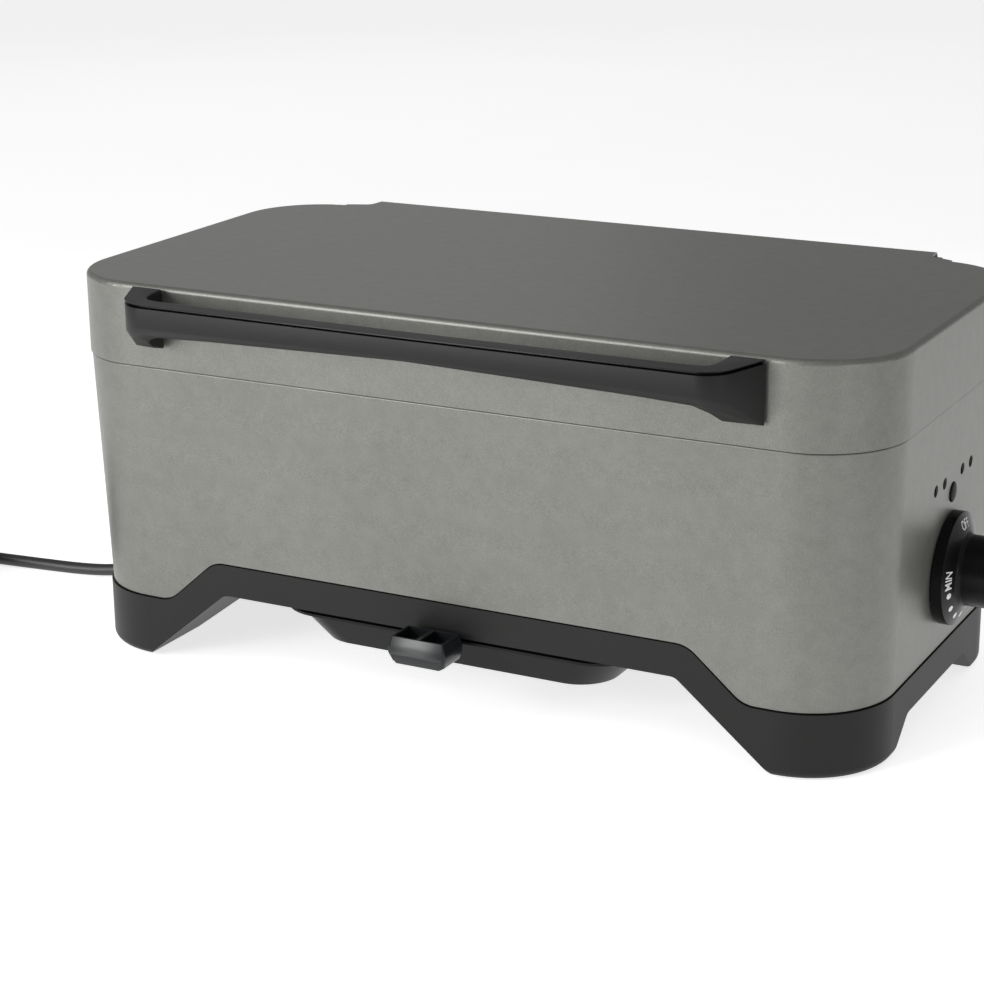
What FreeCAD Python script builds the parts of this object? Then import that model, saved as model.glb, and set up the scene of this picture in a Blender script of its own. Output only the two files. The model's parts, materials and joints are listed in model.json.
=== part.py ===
"""A table-top electric grill with a hinged lid, a drip drawer and a dial on its right end.

X points at the dial, Y to the back, Z up, in millimetres. The sketches are drawn from the middle of
the lid's outline on the table, and every piece is then placed so that the origin is the bottom centre
of the whole grill's box, which the handle, the dial and the hinge cover make wider than the lid.
"""

import FreeCAD, Part
import math
import os
import types

import Sketcher

Vector = FreeCAD.Vector

DRIVING_SIZES = [
    # lid
    ("lid_length", 520, "outside length of the lid"),
    ("lid_width", 267.2, "outside width of the lid"),
    ("corner_radius", 52, "plan radius of the lid's corners"),
    ("seam_height", 186.7, "height of the body's top rim"),
    ("seam_gap", 0.5, "gap between rim and lid, kept by the buffers"),
    ("lid_rise", 49.8, "height of the lid alone"),
    ("lid_sheet", 1.2, "sheet thickness of the lid"),
    ("lid_edge_radius", 3.2, "outside fold radius of the lid's top edge"),
    ("lid_hem", 7, "width of the lid's turned-in bottom edge"),
    ("cover_reach", 23.4, "how far the hinge cover goes behind the lid"),
    ("cover_half_length", 195.5, "half length of the hinge cover's rear edge"),
    ("cover_flare", 17.5, "how much wider the cover is where it meets the lid"),
    ("cover_drop", 9, "height of the cover's rolled rear edge"),
    ("cover_roll_radius", 5, "outside radius of that roll"),
    # body shell
    ("shell_inset", 0.9, "how far the rim lies inside the lid"),
    ("shell_sheet", 1.2, "sheet thickness of the shell"),
    ("rim_edge_radius", 0.8, "rounding of the shell's rim where it folds in"),
    ("shell_lean", 0.0245, "inward lean of the walls per millimetre of height"),
    ("side_edge_height", 40, "height of the shell's lower edge at sides and corners"),
    ("arch_edge_height", 69.2, "height of that edge in the middle of front and back"),
    ("arch_half_length", 154.3, "half length of the raised part of the edge"),
    ("arch_slope_run", 33.5, "length of the slope beside it"),
    ("arch_round", 18, "radius where slope and edge meet"),
    ("rim_width", 14, "width of the turned-in rim at the front and the back"),
    ("rim_left", 11.1, "width of the rim at the left end"),
    ("rim_right", 39.1, "width of the rim at the right end, over the regulator"),
    ("mouth_radius", 36, "corner radius of the rim's opening"),
    # base
    ("base_length", 512.6, "outside length of the base"),
    ("base_width", 260, "outside width of the base"),
    ("base_radius", 51, "plan radius of the base's corners"),
    ("base_wall", 3, "wall thickness of the base"),
    ("joint_gap", 0.9, "shadow line between shell and base"),
    ("lip_height", 8, "how far the base's lip stands up inside the shell"),
    ("lip_clearance", 0.4, "play between lip and shell"),
    ("lip_wall", 2.4, "thickness of the lip"),
    ("tunnel_height", 49, "clear height under the middle of the base"),
    ("tunnel_half_length", 147.6, "half length of that flat part"),
    ("foot_start", 206, "distance of the feet from the middle along X"),
    ("side_arch_height", 19, "clear height under the ends of the base"),
    ("side_arch_half_width", 52, "half width of that flat part"),
    ("side_foot_start", 75, "distance of the feet from the middle along Y"),
    ("foot_edge_radius", 5, "rounding at the bottom of the feet"),
    ("tunnel_round", 8, "rounding where the tunnel's slopes begin"),
    ("drip_hole_radius", 15, "hole in the base for the drain spout"),
    ("pad_radius", 8, "radius of a rubber foot pad"),
    ("pad_thickness", 2.4, "thickness of a foot pad"),
    ("pad_stand", 0.8, "how far a foot pad stands out of its seat"),
    ("pad_from_end", 36, "distance of a foot pad from the base's end"),
    ("pad_from_side", 24, "distance of a foot pad from the base's front or back"),
    # handle
    ("handle_from_end", 61.5, "from the lid's end to the handle's foot"),
    ("handle_taper", 14.5, "how much farther in the bar's front corner lies than the foot"),
    ("handle_standoff", 35, "from the lid to the bar's front face"),
    ("handle_bar_depth", 11, "depth of the bar"),
    ("handle_bar_height", 15, "height of the bar"),
    ("handle_foot_length", 20, "length of a foot on the lid"),
    ("handle_foot_height", 35.5, "height of a foot on the lid"),
    ("handle_below_top", 1, "from the lid's top down to the foot's top"),
    ("handle_fall", 1.6, "how far the bar lies lower than the foot's top"),
    ("handle_leg_lean", 1.5, "inward run of the leg's inner face"),
    ("handle_corner_round", 18, "plan radius of the bar's front corners"),
    ("handle_inner_round", 9, "plan radius of the bar's rear corners"),
    ("handle_flare_round", 30, "radius under the bar where a leg flares down to its foot"),
    ("handle_edge_radius", 1.2, "rounding of the handle's edges"),
    # hinge
    ("hinge_behind", 12.4, "hinge axis behind the lid's rear wall"),
    ("hinge_below", 7.2, "hinge axis below the lid's top"),
    ("eye_radius", 5.6, "radius of the bracket's eye"),
    ("barrel_radius", 5, "radius of the leaf's barrel"),
    ("pin_radius", 2.5, "radius of a hinge pin"),
    ("running_fit", 0.05, "radial play of pins and shafts"),
    ("bracket_outer", 202.3, "outer end of a hinge bracket"),
    ("bracket_length", 13, "length of a bracket along X"),
    ("bracket_plate", 3, "thickness of the bracket's plate"),
    ("bracket_foot_drop", 36.7, "from the body's rim down to the bracket's lower end"),
    ("bracket_web", 6, "height of the web that carries the eye"),
    ("stop_drop", 9, "from the hinge axis down to the lid stop"),
    ("stop_height", 3, "height of the lid stop"),
    ("stop_reach", 4.5, "how far the lid stop stands out of the plate"),
    ("leaf_length", 38, "length of a hinge leaf along X"),
    ("leaf_sheet", 1.5, "thickness of a hinge leaf"),
    ("leaf_web", 4, "thickness of the web over the leaf's barrel"),
    ("hinge_play", 0.4, "gap along X between leaf and bracket"),
    # pan, plate and heater
    ("pan_sheet", 1, "sheet thickness of the pan"),
    ("pan_flange", 5, "how far the pan's flange goes outside the mouth"),
    ("mouth_clearance", 1, "gap between the rim's opening and the pan"),
    ("ledge_drop", 14.7, "from the body's rim down to the ledge under the plate"),
    ("ledge_width", 8, "width of that ledge"),
    ("pan_floor_drop", 72.7, "from the body's rim down to the pan's floor"),
    ("pan_lean", 0.18, "inward lean of the pan's walls per millimetre"),
    ("drain_radius", 10, "radius of the pan's drain hole"),
    ("plate_clearance", 1.2, "gap between plate and pan"),
    ("plate_base", 4.5, "thickness of the plate between ribs"),
    ("plate_rim", 6, "width of the plate's rim"),
    ("rib_height", 6, "height of a rib above the plate's floor"),
    ("rib_width", 5, "width of a rib"),
    ("rib_pitch", 14, "spacing of the ribs"),
    ("gutter_width", 12, "width of the flat gutter inside the rim"),
    ("plate_drain_radius", 7, "radius of the plate's drain hole"),
    ("heater_radius", 4, "radius of the heating tube"),
    ("heater_drop", 36.7, "from the body's rim down to the heating tube's axis"),
    ("heater_bend_radius", 25, "radius of the tube's bends"),
    ("heater_from_left", 53, "from the mouth's left end to the centres of the left bends"),
    ("heater_from_right", 70, "from the centre of the right bend to the mouth's right end"),
    ("heater_past_mouth", 1, "how far the tube's legs reach past the mouth's right end"),
    ("support_sheet", 1.5, "thickness of a heater support"),
    ("support_foot", 9, "width of a heater support's foot"),
    ("support_half_width", 86, "half width of a heater support"),
    ("support_pitch", 130, "spacing of the heater supports"),
    ("support_first", -150, "place of the left heater support"),
    ("bush_radius", 6.5, "radius of a heater bush"),
    ("bush_flange_radius", 9, "radius of a heater bush's collar"),
    ("bush_length", 16, "length of a heater bush"),
    ("terminal_radius", 2, "radius of a heater's terminal pin"),
    ("terminal_length", 9, "length of a heater's terminal pin"),
    # drain, shield and the studs that hold the stack together
    ("spout_wall", 1, "wall of the drain spout"),
    ("spout_end_height", 47.6, "height of the spout's lower end"),
    ("shield_height", 80, "height of the heat shield"),
    ("shield_half_length", 145, "half length of the heat shield"),
    ("shield_half_width", 105, "half width of the heat shield"),
    ("stud_x", 128, "distance of a stud from the middle along X"),
    ("stud_y", 70, "distance of a stud from the middle along Y"),
    ("stud_radius", 2.5, "radius of a stud"),
    ("spacer_radius", 5, "radius of a spacer tube"),
    ("nut_radius", 4.6, "radius of a stud nut"),
    ("nut_height", 4, "height of a stud nut"),
    # dial, regulator and lamp
    ("dial_y", 8, "place of the dial along Y"),
    ("dial_height", 87, "height of the dial's axis"),
    ("dial_gap", 1.2, "gap between the wall and the dial"),
    ("skirt_radius", 33, "radius of the dial's skirt"),
    ("skirt_depth", 6, "thickness of the skirt's rim"),
    ("skirt_rise", 5, "rise of the skirt's face towards the grip"),
    ("grip_radius", 20.5, "radius of the dial's grip"),
    ("dial_depth", 32, "depth of the dial over all"),
    ("grip_edge_radius", 1.6, "rounding of the grip's end"),
    ("skirt_wall", 2.6, "wall thickness of the skirt"),
    ("hub_radius", 8, "radius of the dial's hub"),
    ("shaft_radius", 3, "radius of the regulator's shaft"),
    ("shaft_flat", 1, "depth of the shaft's flat"),
    ("shaft_depth_in_dial", 17, "how deep the shaft goes into the dial"),
    ("shaft_hole_radius", 4.5, "radius of the shaft's hole in the wall"),
    ("regulator_depth", 27, "depth of the regulator"),
    ("regulator_width", 38, "width of the regulator"),
    ("regulator_height", 34, "height of the regulator"),
    ("regulator_screw_pitch", 28, "spacing of the regulator's screws"),
    ("small_screw_radius", 1.7, "radius of a small screw"),
    ("small_head_radius", 3.2, "radius of a small screw's head"),
    ("small_head_height", 1.5, "height of a small screw's head"),
    ("screw_play", 0.2, "radial play of a screw in its hole"),
    ("lamp_height", 132, "height of the pilot lamp"),
    ("lens_radius", 5.9, "radius of the pilot lamp's lens"),
    ("lens_play", 0.15, "gap round the lens"),
    ("lens_depth", 2, "depth of the lens"),
    ("lamp_radius", 7, "radius of the lamp holder"),
    ("lamp_depth", 18, "depth of the lamp holder"),
    ("vent_height", 141.3, "height of the row of small holes"),
    ("vent_radius", 3.5, "radius of a small hole"),
    ("vent_inner", 16.4, "distance of the inner small holes from the lamp"),
    ("vent_outer", 32.4, "distance of the outer small holes from the lamp"),
    # drip drawer
    ("tray_top_half_length", 111, "half length of the tray's top"),
    ("tray_bottom_half_length", 95, "half length of the tray's bottom"),
    ("tray_front", 123, "front of the tray's top, in front of the middle"),
    ("tray_depth", 215, "the tray's top from front to back"),
    ("tray_slope", 10, "how much shorter the bottom is at front and back"),
    ("tray_bottom_height", 25.5, "height of the tray's underside"),
    ("tray_rim_height", 46.5, "height of the tray's rim"),
    ("tray_wall", 1.5, "wall thickness of the tray"),
    ("tray_rim", 5, "width of the tray's rim"),
    ("tray_radius", 24, "corner radius of the tray's top"),
    ("rail_play", 0.3, "play of the tray's rim in the rails"),
    ("rail_sheet", 1.5, "thickness of a rail"),
    ("rail_lip", 5.5, "how far a rail reaches under the rim"),
    ("rail_front", 116, "front end of the rails"),
    ("rail_depth", 218, "length of the rails"),
    ("rail_screw_reach", 80, "distance of a rail's screws from the middle"),
    ("grip_front", 158, "front face of the drawer's grip"),
    ("grip_half_length", 17.5, "half length of the drawer's grip"),
    ("grip_top_height", 54, "height of the grip's top"),
    ("grip_bottom_height", 38, "height of the grip's front lower edge"),
    ("grip_depth", 27, "depth of the grip's raised part"),
    ("arm_top_gap", 0.6, "gap between the arm and the base above it"),
    ("arm_bottom_height", 39, "height of the arm's underside"),
    ("grip_bevel", 3, "bevel round the grip's front"),
    ("grip_screw_half_pitch", 9, "distance of the grip's screws from the middle"),
    # mains cord
    ("cord_radius", 4, "radius of the mains cord"),
    ("gland_y", -18, "place of the gland along Y"),
    ("gland_height", 30.6, "height of the gland"),
    ("gland_radius", 8, "radius of the gland's collar"),
    ("gland_collar", 2.5, "thickness of the gland's collar"),
    ("gland_hole_radius", 6.4, "radius of the gland's hole in the base"),
    ("gland_nut", 4, "thickness of the nut inside"),
    ("sleeve_length", 25, "length of the strain relief sleeve"),
    ("sleeve_root_radius", 6.2, "radius of the sleeve's root"),
    ("sleeve_tip_radius", 5, "radius of the sleeve's tip"),
    ("sleeve_dip", 31, "downward angle of the sleeve, in degrees"),
    ("coil_gap", 0.5, "gap between the coil's turns"),
    ("coil_lift", 1, "height of the coil's underside"),
    ("coil_radius", 54.6, "outer radius of the coil's bottom layer, on the cord's axis"),
    ("coil_x", -446, "centre of the coil along X"),
    ("coil_entry_y", -37.5, "place along Y where the cord enters the coil"),
    ("tie_sheet", 0.7, "thickness of the coil's tie"),
    ("tie_width", 12, "width of the coil's tie"),
    ("tie_slack", 0.3, "gap between tie and cord"),
    ("plug_radius", 18.5, "radius of the plug's face"),
    ("plug_length", 46, "length of the plug's body"),
    ("plug_pin_radius", 2.4, "radius of a plug pin"),
    ("plug_pin_length", 19, "length of a plug pin"),
    ("plug_pin_pitch", 19, "spacing of the plug pins"),
    # wiring
    ("lead_radius", 1.4, "radius of an inner lead"),
    ("block_length", 30, "length of the terminal block"),
    ("block_width", 30, "width of the terminal block"),
    ("block_height", 15, "height of the terminal block"),
    ("block_from_end", 22, "from the base's end to the terminal block"),
    ("block_screw_radius", 2.2, "radius of a terminal screw"),
    ("block_screw_pitch", 10, "spacing of the terminal screws"),
    # buffers and screws
    ("buffer_radius", 3, "radius of a lid buffer"),
    ("buffer_x", 190, "distance of a lid buffer from the middle along X"),
    ("rim_screw_x", 150, "distance of the outer rim screws from the middle of the mouth"),
    ("rim_screw_head", 1, "height of a rim screw's head"),
    ("handle_screw_radius", 2, "radius of a handle screw"),
    ("handle_screw_head", 3.8, "radius of a handle screw's head"),
    ("handle_screw_head_height", 2.2, "height of a handle screw's head"),
    ("handle_screw_grip", 9, "how deep a handle screw goes into the handle"),
    ("bracket_screw_low_drop", 26.7, "from the body's rim down to a bracket's lower screw"),
    ("bracket_screw_high_drop", 10.7, "from the body's rim down to a bracket's upper screw"),
    ("bracket_screw_grip", 4, "length of a bracket screw inside the shell"),
]


class Size:
    """A length that carries its number and the sheet formula that gives it."""

    def __init__(self, number, formula):
        self.number = float(number)
        self.formula = formula

    def __add__(self, other):
        other = as_size(other)
        return Size(self.number + other.number, f"({self.formula} + {other.formula})")

    def __sub__(self, other):
        other = as_size(other)
        return Size(self.number - other.number, f"({self.formula} - {other.formula})")

    def __mul__(self, other):
        other = as_size(other)
        return Size(self.number * other.number, f"({self.formula} * {other.formula})")

    def __truediv__(self, other):
        other = as_size(other)
        return Size(self.number / other.number, f"({self.formula} / {other.formula})")

    def __radd__(self, other):
        return as_size(other) + self

    def __rsub__(self, other):
        return as_size(other) - self

    def __rmul__(self, other):
        return as_size(other) * self

    def __neg__(self):
        return Size(-self.number, f"(0 - {self.formula})")


def as_size(value):
    if isinstance(value, Size):
        return value
    return Size(value, f"({float(value)!r})")


doc = FreeCAD.newDocument("TableGrill")
sheet = doc.addObject("Spreadsheet::Sheet", "Sizes")
for row, (name, number, note) in enumerate(DRIVING_SIZES, start=1):
    sheet.set(f"A{row}", name)
    sheet.set(f"B{row}", str(number))
    sheet.set(f"C{row}", note)
    sheet.setAlias(f"B{row}", name)
doc.recompute()
size = types.SimpleNamespace(
    **{name: Size(sheet.get(name), f"Sizes.{name}") for name, number, note in DRIVING_SIZES}
)
pieces = []


# Places that several pieces share.

half_length = size.lid_length / 2
half_width = size.lid_width / 2
lid_bottom = size.seam_height + size.seam_gap
lid_top = lid_bottom + size.lid_rise
lid_ceiling = lid_top - size.lid_sheet
rim_underside = size.seam_height - size.shell_sheet
mouth_half_length = half_length - size.shell_inset - (size.rim_left + size.rim_right) / 2
mouth_shift = (size.rim_left - size.rim_right) / 2
mouth_half_width = half_width - size.shell_inset - size.rim_width
bracket_screw_low = size.seam_height - size.bracket_screw_low_drop
heater_left = mouth_half_length - mouth_shift - size.heater_from_left
heater_right = mouth_half_length + mouth_shift - size.heater_from_right
heater_end = mouth_half_length + mouth_shift + size.heater_past_mouth
base_half_length = size.base_length / 2
base_half_width = size.base_width / 2
base_side_top = size.side_edge_height - size.joint_gap
base_arch_top = size.arch_edge_height - size.joint_gap
floor_top = size.tunnel_height + size.base_wall
handle_half_length = half_length - size.handle_from_end
cover_rear = half_width + size.cover_reach
hinge_y = half_width + size.hinge_behind
hinge_height = lid_top - size.hinge_below
dial_face = half_length - size.shell_inset - size.shell_lean * (size.seam_height - size.dial_height)
dial_end = dial_face + size.dial_gap + size.dial_depth
handle_front = half_width + size.handle_standoff
shift_x = (half_length - dial_end) / 2
shift_y = (handle_front - cover_rear) / 2
pan_floor = size.seam_height - size.pan_floor_drop
pan_underside = pan_floor - size.pan_sheet
ledge_top = size.seam_height - size.ledge_drop
heater_height = size.seam_height - size.heater_drop
grip_clear_height = size.tunnel_height - size.arm_top_gap


def shell_half(half_outside, height, inset=0):
    """Half size of the leaning shell at a height, or of a face that lies inset inside it."""
    return half_outside - size.shell_inset - size.shell_lean * (size.seam_height - height) - inset


# Sketch and feature helpers.


def bind(item, name, value):
    """Ties a property of a feature to its formula in the sheet."""
    value = as_size(value)
    item.setExpression(name, value.formula)


def place(item, x=0, y=0, z=0, rotation=None):
    """Puts a finished piece at its place in the grill's own frame."""
    x = shift_x + x
    y = shift_y + y
    z = as_size(z)
    base = Vector(x.number, y.number, z.number)
    item.Placement = FreeCAD.Placement(base, rotation or FreeCAD.Rotation())
    bind(item, "Placement.Base.x", x)
    bind(item, "Placement.Base.y", y)
    bind(item, "Placement.Base.z", z)


def new_body(name, x=0, y=0, z=0, rotation=None):
    body = doc.addObject("PartDesign::Body", name)
    body.Label = name
    place(body, x, y, z, rotation)
    pieces.append(body)
    return body


def new_sketch(body, role, offset=0):
    """A sketch on one of the body's own origin planes, moved along that plane's normal."""
    sketch = body.newObject("Sketcher::SketchObject", body.Name + "_sketch")
    plane = next(item for item in body.Origin.OriginFeatures if item.Role == role)
    sketch.AttachmentSupport = (plane, [""])
    sketch.MapMode = "FlatFace"
    bind(sketch, "AttachmentOffset.Base.z", offset)
    return sketch


def fix(sketch, kind, geometry, value, point=None):
    """Adds a dimension to a sketch and ties it to the sheet."""
    value = as_size(value)
    if point is None:
        index = sketch.addConstraint(Sketcher.Constraint(kind, geometry, value.number))
    else:
        index = sketch.addConstraint(Sketcher.Constraint(kind, geometry, point, value.number))
    sketch.setExpression(f"Constraints[{index}]", value.formula)


def fix_point(sketch, geometry, point, x, y):
    fix(sketch, "DistanceX", geometry, x, point)
    fix(sketch, "DistanceY", geometry, y, point)


def corner_arc(before, corner, after, radius):
    """The arc that rounds a corner: its two ends, its middle point and which way it turns."""
    back = (before - corner).normalize()
    ahead = (after - corner).normalize()
    half_angle = back.getAngle(ahead) / 2
    reach = radius / math.tan(half_angle)
    start = corner + back * reach
    end = corner + ahead * reach
    centre = corner + (back + ahead).normalize() * (radius / math.sin(half_angle))
    middle = centre + (corner - centre).normalize() * radius
    left_turn = back.cross(ahead).z < 0
    return start, middle, end, left_turn


def outline(sketch, corners):
    """A closed outline through corners (x, y) or (x, y, radius), each tied to the sheet."""
    count = len(corners)
    points = [Vector(as_size(item[0]).number, as_size(item[1]).number, 0) for item in corners]
    arcs = {}
    for index, item in enumerate(corners):
        if len(item) == 3:
            neighbours = points[index - 1], points[index], points[(index + 1) % count]
            arcs[index] = corner_arc(*neighbours, as_size(item[2]).number)
    lines = []
    for index in range(count):
        following = (index + 1) % count
        start = arcs[index][2] if index in arcs else points[index]
        end = arcs[following][0] if following in arcs else points[following]
        lines.append(sketch.addGeometry(Part.LineSegment(start, end)))
    for index, item in enumerate(corners):
        before = lines[index - 1]
        after = lines[index]
        if index in arcs:
            start, middle, end, left_turn = arcs[index]
            corner = sketch.addGeometry(Part.Point(points[index]), True)
            arc = sketch.addGeometry(Part.Arc(start, middle, end))
            first, last = (1, 2) if left_turn else (2, 1)
            sketch.addConstraint(Sketcher.Constraint("Tangent", before, 2, arc, first))
            sketch.addConstraint(Sketcher.Constraint("Tangent", arc, last, after, 1))
            sketch.addConstraint(Sketcher.Constraint("PointOnObject", corner, 1, before))
            sketch.addConstraint(Sketcher.Constraint("PointOnObject", corner, 1, after))
            fix_point(sketch, corner, 1, item[0], item[1])
            fix(sketch, "Radius", arc, item[2])
        else:
            sketch.addConstraint(Sketcher.Constraint("Coincident", before, 2, after, 1))
            fix_point(sketch, after, 1, item[0], item[1])


def box_outline(sketch, x, y, half_x, half_y, radius=None):
    """A rectangle round (x, y), with rounded corners where a radius is given."""
    ends = [(x - half_x, y - half_y), (x + half_x, y - half_y), (x + half_x, y + half_y), (x - half_x, y + half_y)]
    outline(sketch, ends if radius is None else [(*end, radius) for end in ends])


def circles(sketch, centres, radius):
    for x, y in centres:
        middle = Vector(as_size(x).number, as_size(y).number, 0)
        ring = sketch.addGeometry(Part.Circle(middle, Vector(0, 0, 1), as_size(radius).number))
        fix_point(sketch, ring, 3, x, y)
        fix(sketch, "Radius", ring, radius)


def extrude(body, kind, sketch, length=None, backwards=False, both=False):
    feature = body.newObject(kind, body.Name + "_" + kind.split("::")[1].lower())
    feature.Profile = sketch
    if length is None:
        feature.Type = "ThroughAll"
    else:
        bind(feature, "Length", length)
    feature.Reversed = backwards
    if both:
        feature.SideType = "Symmetric"
    sketch.Visibility = False
    doc.recompute()
    return feature


def pad(body, sketch, length, backwards=False, both=False):
    return extrude(body, "PartDesign::Pad", sketch, length, backwards, both)


def pocket(body, sketch, length=None, backwards=False, both=False):
    """Cuts a sketch away, and stops the build if the cut missed the solid."""
    volume = body.Shape.Volume
    feature = extrude(body, "PartDesign::Pocket", sketch, length, backwards, both)
    if not feature.Shape.Volume < volume:
        raise RuntimeError(f"a pocket of {body.Label} cuts nothing")
    return feature


def loft(body, kind, lower, upper):
    feature = body.newObject(kind, body.Name + "_loft")
    feature.Profile = lower
    feature.Sections = [upper]
    feature.Ruled = True
    doc.recompute()
    return feature


def revolve(body, sketch, axis):
    feature = body.newObject("PartDesign::Revolution", body.Name + "_revolution")
    feature.Profile = sketch
    feature.ReferenceAxis = (sketch, [axis])
    feature.Angle = 360
    doc.recompute()
    return feature


def round_edges(body, radius, wanted):
    """Fillets the edges of the body's last feature that the given test accepts."""
    last = body.Tip
    names = [f"Edge{index}" for index, edge in enumerate(last.Shape.Edges, start=1) if wanted(edge)]
    if not names:
        raise RuntimeError(f"no edge of {body.Label} to round")
    feature = body.newObject("PartDesign::Fillet", body.Name + "_fillet")
    feature.Base = (last, names)
    bind(feature, "Radius", radius)
    doc.recompute()
    return feature


def near(value, target, slack=0.01):
    return abs(value - as_size(target).number) < slack


def edge_lies_at_height(edge, height):
    return near(edge.BoundBox.ZMin, height) and near(edge.BoundBox.ZMax, height)


def cylinders(body, role, centres, radius, start, length):
    """Round pads of one size, standing on one of the body's planes."""
    sketch = new_sketch(body, role, start)
    circles(sketch, centres, radius)
    return pad(body, sketch, length)


def round_holes(body, role, centres, radius, start=0, length=None, backwards=False, both=False):
    sketch = new_sketch(body, role, start)
    circles(sketch, centres, radius)
    return pocket(body, sketch, length, backwards, both)


def mirrored(*centres):
    """The given places and their mirror images across both middle planes."""
    return [(sign_x * x, sign_y * y) for x, y in centres for sign_x in (-1, 1) for sign_y in (-1, 1)]


# Lid


def make_lid_shell():
    body = new_body("lid_shell")
    sketch = new_sketch(body, "XY_Plane", lid_bottom)
    box_outline(sketch, 0, 0, half_length, half_width, size.corner_radius)
    pad(body, sketch, size.lid_rise)
    round_edges(body, size.lid_edge_radius, lambda edge: edge_lies_at_height(edge, lid_top))

    inner_length = half_length - size.lid_sheet
    inner_width = half_width - size.lid_sheet
    inner_radius = size.corner_radius - size.lid_sheet
    sketch = new_sketch(body, "XY_Plane", lid_bottom + size.lid_sheet)
    box_outline(sketch, 0, 0, inner_length, inner_width, inner_radius)
    pocket(body, sketch, size.lid_rise - size.lid_sheet * 2, backwards=True)
    sketch = new_sketch(body, "XY_Plane", lid_bottom)
    hem = size.lid_hem
    box_outline(sketch, 0, 0, inner_length - hem, inner_width - hem, inner_radius - hem)
    pocket(body, sketch, size.lid_sheet * 2, backwards=True)
    round_edges(
        body,
        size.lid_edge_radius - size.lid_sheet,
        lambda edge: edge_lies_at_height(edge, lid_ceiling),
    )

    sketch = new_sketch(body, "YZ_Plane")
    flat_start = half_width - size.lid_edge_radius - size.lid_sheet
    cover_inside = cover_rear - size.lid_sheet
    roll_bottom = lid_top - size.cover_drop
    inner_roll = size.cover_roll_radius - size.lid_sheet
    outline(
        sketch,
        [
            (flat_start, lid_ceiling),
            (cover_inside, lid_ceiling, inner_roll),
            (cover_inside, roll_bottom),
            (cover_rear, roll_bottom),
            (cover_rear, lid_top, size.cover_roll_radius),
            (flat_start, lid_top),
        ],
    )
    pad(body, sketch, (size.cover_half_length + size.cover_flare) * 2, both=True)

    root = size.cover_half_length + size.cover_flare
    shoulder = size.cover_half_length + size.cover_flare / 7
    shoulder_y = half_width + size.cover_reach * 0.27
    past_end = root + size.cover_flare
    past_rear = cover_rear + size.cover_flare
    for side in (-1, 1):
        sketch = new_sketch(body, "XY_Plane", lid_top - size.cover_drop)
        corners = [
            (side * root, half_width),
            (side * shoulder, shoulder_y, size.cover_roll_radius),
            (side * size.cover_half_length, past_rear),
            (side * past_end, past_rear),
            (side * past_end, half_width),
        ]
        outline(sketch, corners)
        pocket(body, sketch, size.cover_drop * 2, backwards=True)

    round_holes(body, "XZ_Plane", handle_screw_places(), size.handle_screw_radius + size.screw_play, half_width,
                size.lid_sheet * 2)


def handle_screw_places():
    x = handle_half_length - size.handle_foot_length / 2
    middle = lid_top - size.handle_below_top - size.handle_foot_height * 0.4
    pitch = size.handle_foot_height / 6
    return [(side * x, middle + step * pitch) for side in (-1, 1) for step in (-1, 1)]


def make_lid_handle():
    """The bar and its two splayed feet: a plan shape trimmed to the side view."""
    body = new_body("lid_handle")
    foot_top = lid_top - size.handle_below_top
    foot_bottom = foot_top - size.handle_foot_height
    bar_top = foot_top - size.handle_fall
    bar_bottom = bar_top - size.handle_bar_height
    bar_back = handle_front - size.handle_bar_depth
    bar_half_length = handle_half_length - size.handle_taper
    foot_inner = handle_half_length - size.handle_foot_length
    leg_inner = foot_inner - size.handle_leg_lean
    sketch = new_sketch(body, "XY_Plane", foot_bottom)
    outline(
        sketch,
        [
            (-handle_half_length, -half_width),
            (-bar_half_length, -handle_front, size.handle_corner_round),
            (bar_half_length, -handle_front, size.handle_corner_round),
            (handle_half_length, -half_width),
            (foot_inner, -half_width),
            (leg_inner, -bar_back, size.handle_inner_round),
            (-leg_inner, -bar_back, size.handle_inner_round),
            (-foot_inner, -half_width),
        ],
    )
    pad(body, sketch, size.handle_foot_height)

    sketch = new_sketch(body, "YZ_Plane")
    clear = size.handle_standoff
    outline(
        sketch,
        [
            (-half_width, foot_bottom),
            (-bar_back, bar_bottom, size.handle_flare_round),
            (-handle_front - clear, bar_bottom),
            (-handle_front - clear, foot_bottom - clear),
            (-half_width, foot_bottom - clear),
        ],
    )
    pocket(body, sketch, both=True)
    sketch = new_sketch(body, "YZ_Plane")
    outline(
        sketch,
        [
            (-half_width, foot_top),
            (-handle_front, bar_top),
            (-handle_front - clear, bar_top),
            (-handle_front - clear, foot_top + clear),
            (-half_width, foot_top + clear),
        ],
    )
    pocket(body, sketch, both=True)

    def on_bar_front(edge):
        front = -handle_front.number
        return near(edge.BoundBox.YMin, front) and near(edge.BoundBox.YMax, front) and edge.Length > size.lid_rise.number

    round_edges(body, size.handle_edge_radius, on_bar_front)
    round_holes(body, "XZ_Plane", handle_screw_places(), size.handle_screw_radius + size.running_fit, half_width,
                size.handle_screw_grip, backwards=True)


def make_handle_screws():
    body = new_body("handle_screws")
    inside = half_width - size.lid_sheet
    cylinders(body, "XZ_Plane", handle_screw_places(), size.handle_screw_radius, inside - size.lid_sheet / 2,
              size.lid_sheet * 1.5 + size.handle_screw_grip - size.running_fit)
    cylinders(body, "XZ_Plane", handle_screw_places(), size.handle_screw_head,
              inside - size.handle_screw_head_height, size.handle_screw_head_height)


def bracket_inner():
    return size.bracket_outer - size.bracket_length


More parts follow.
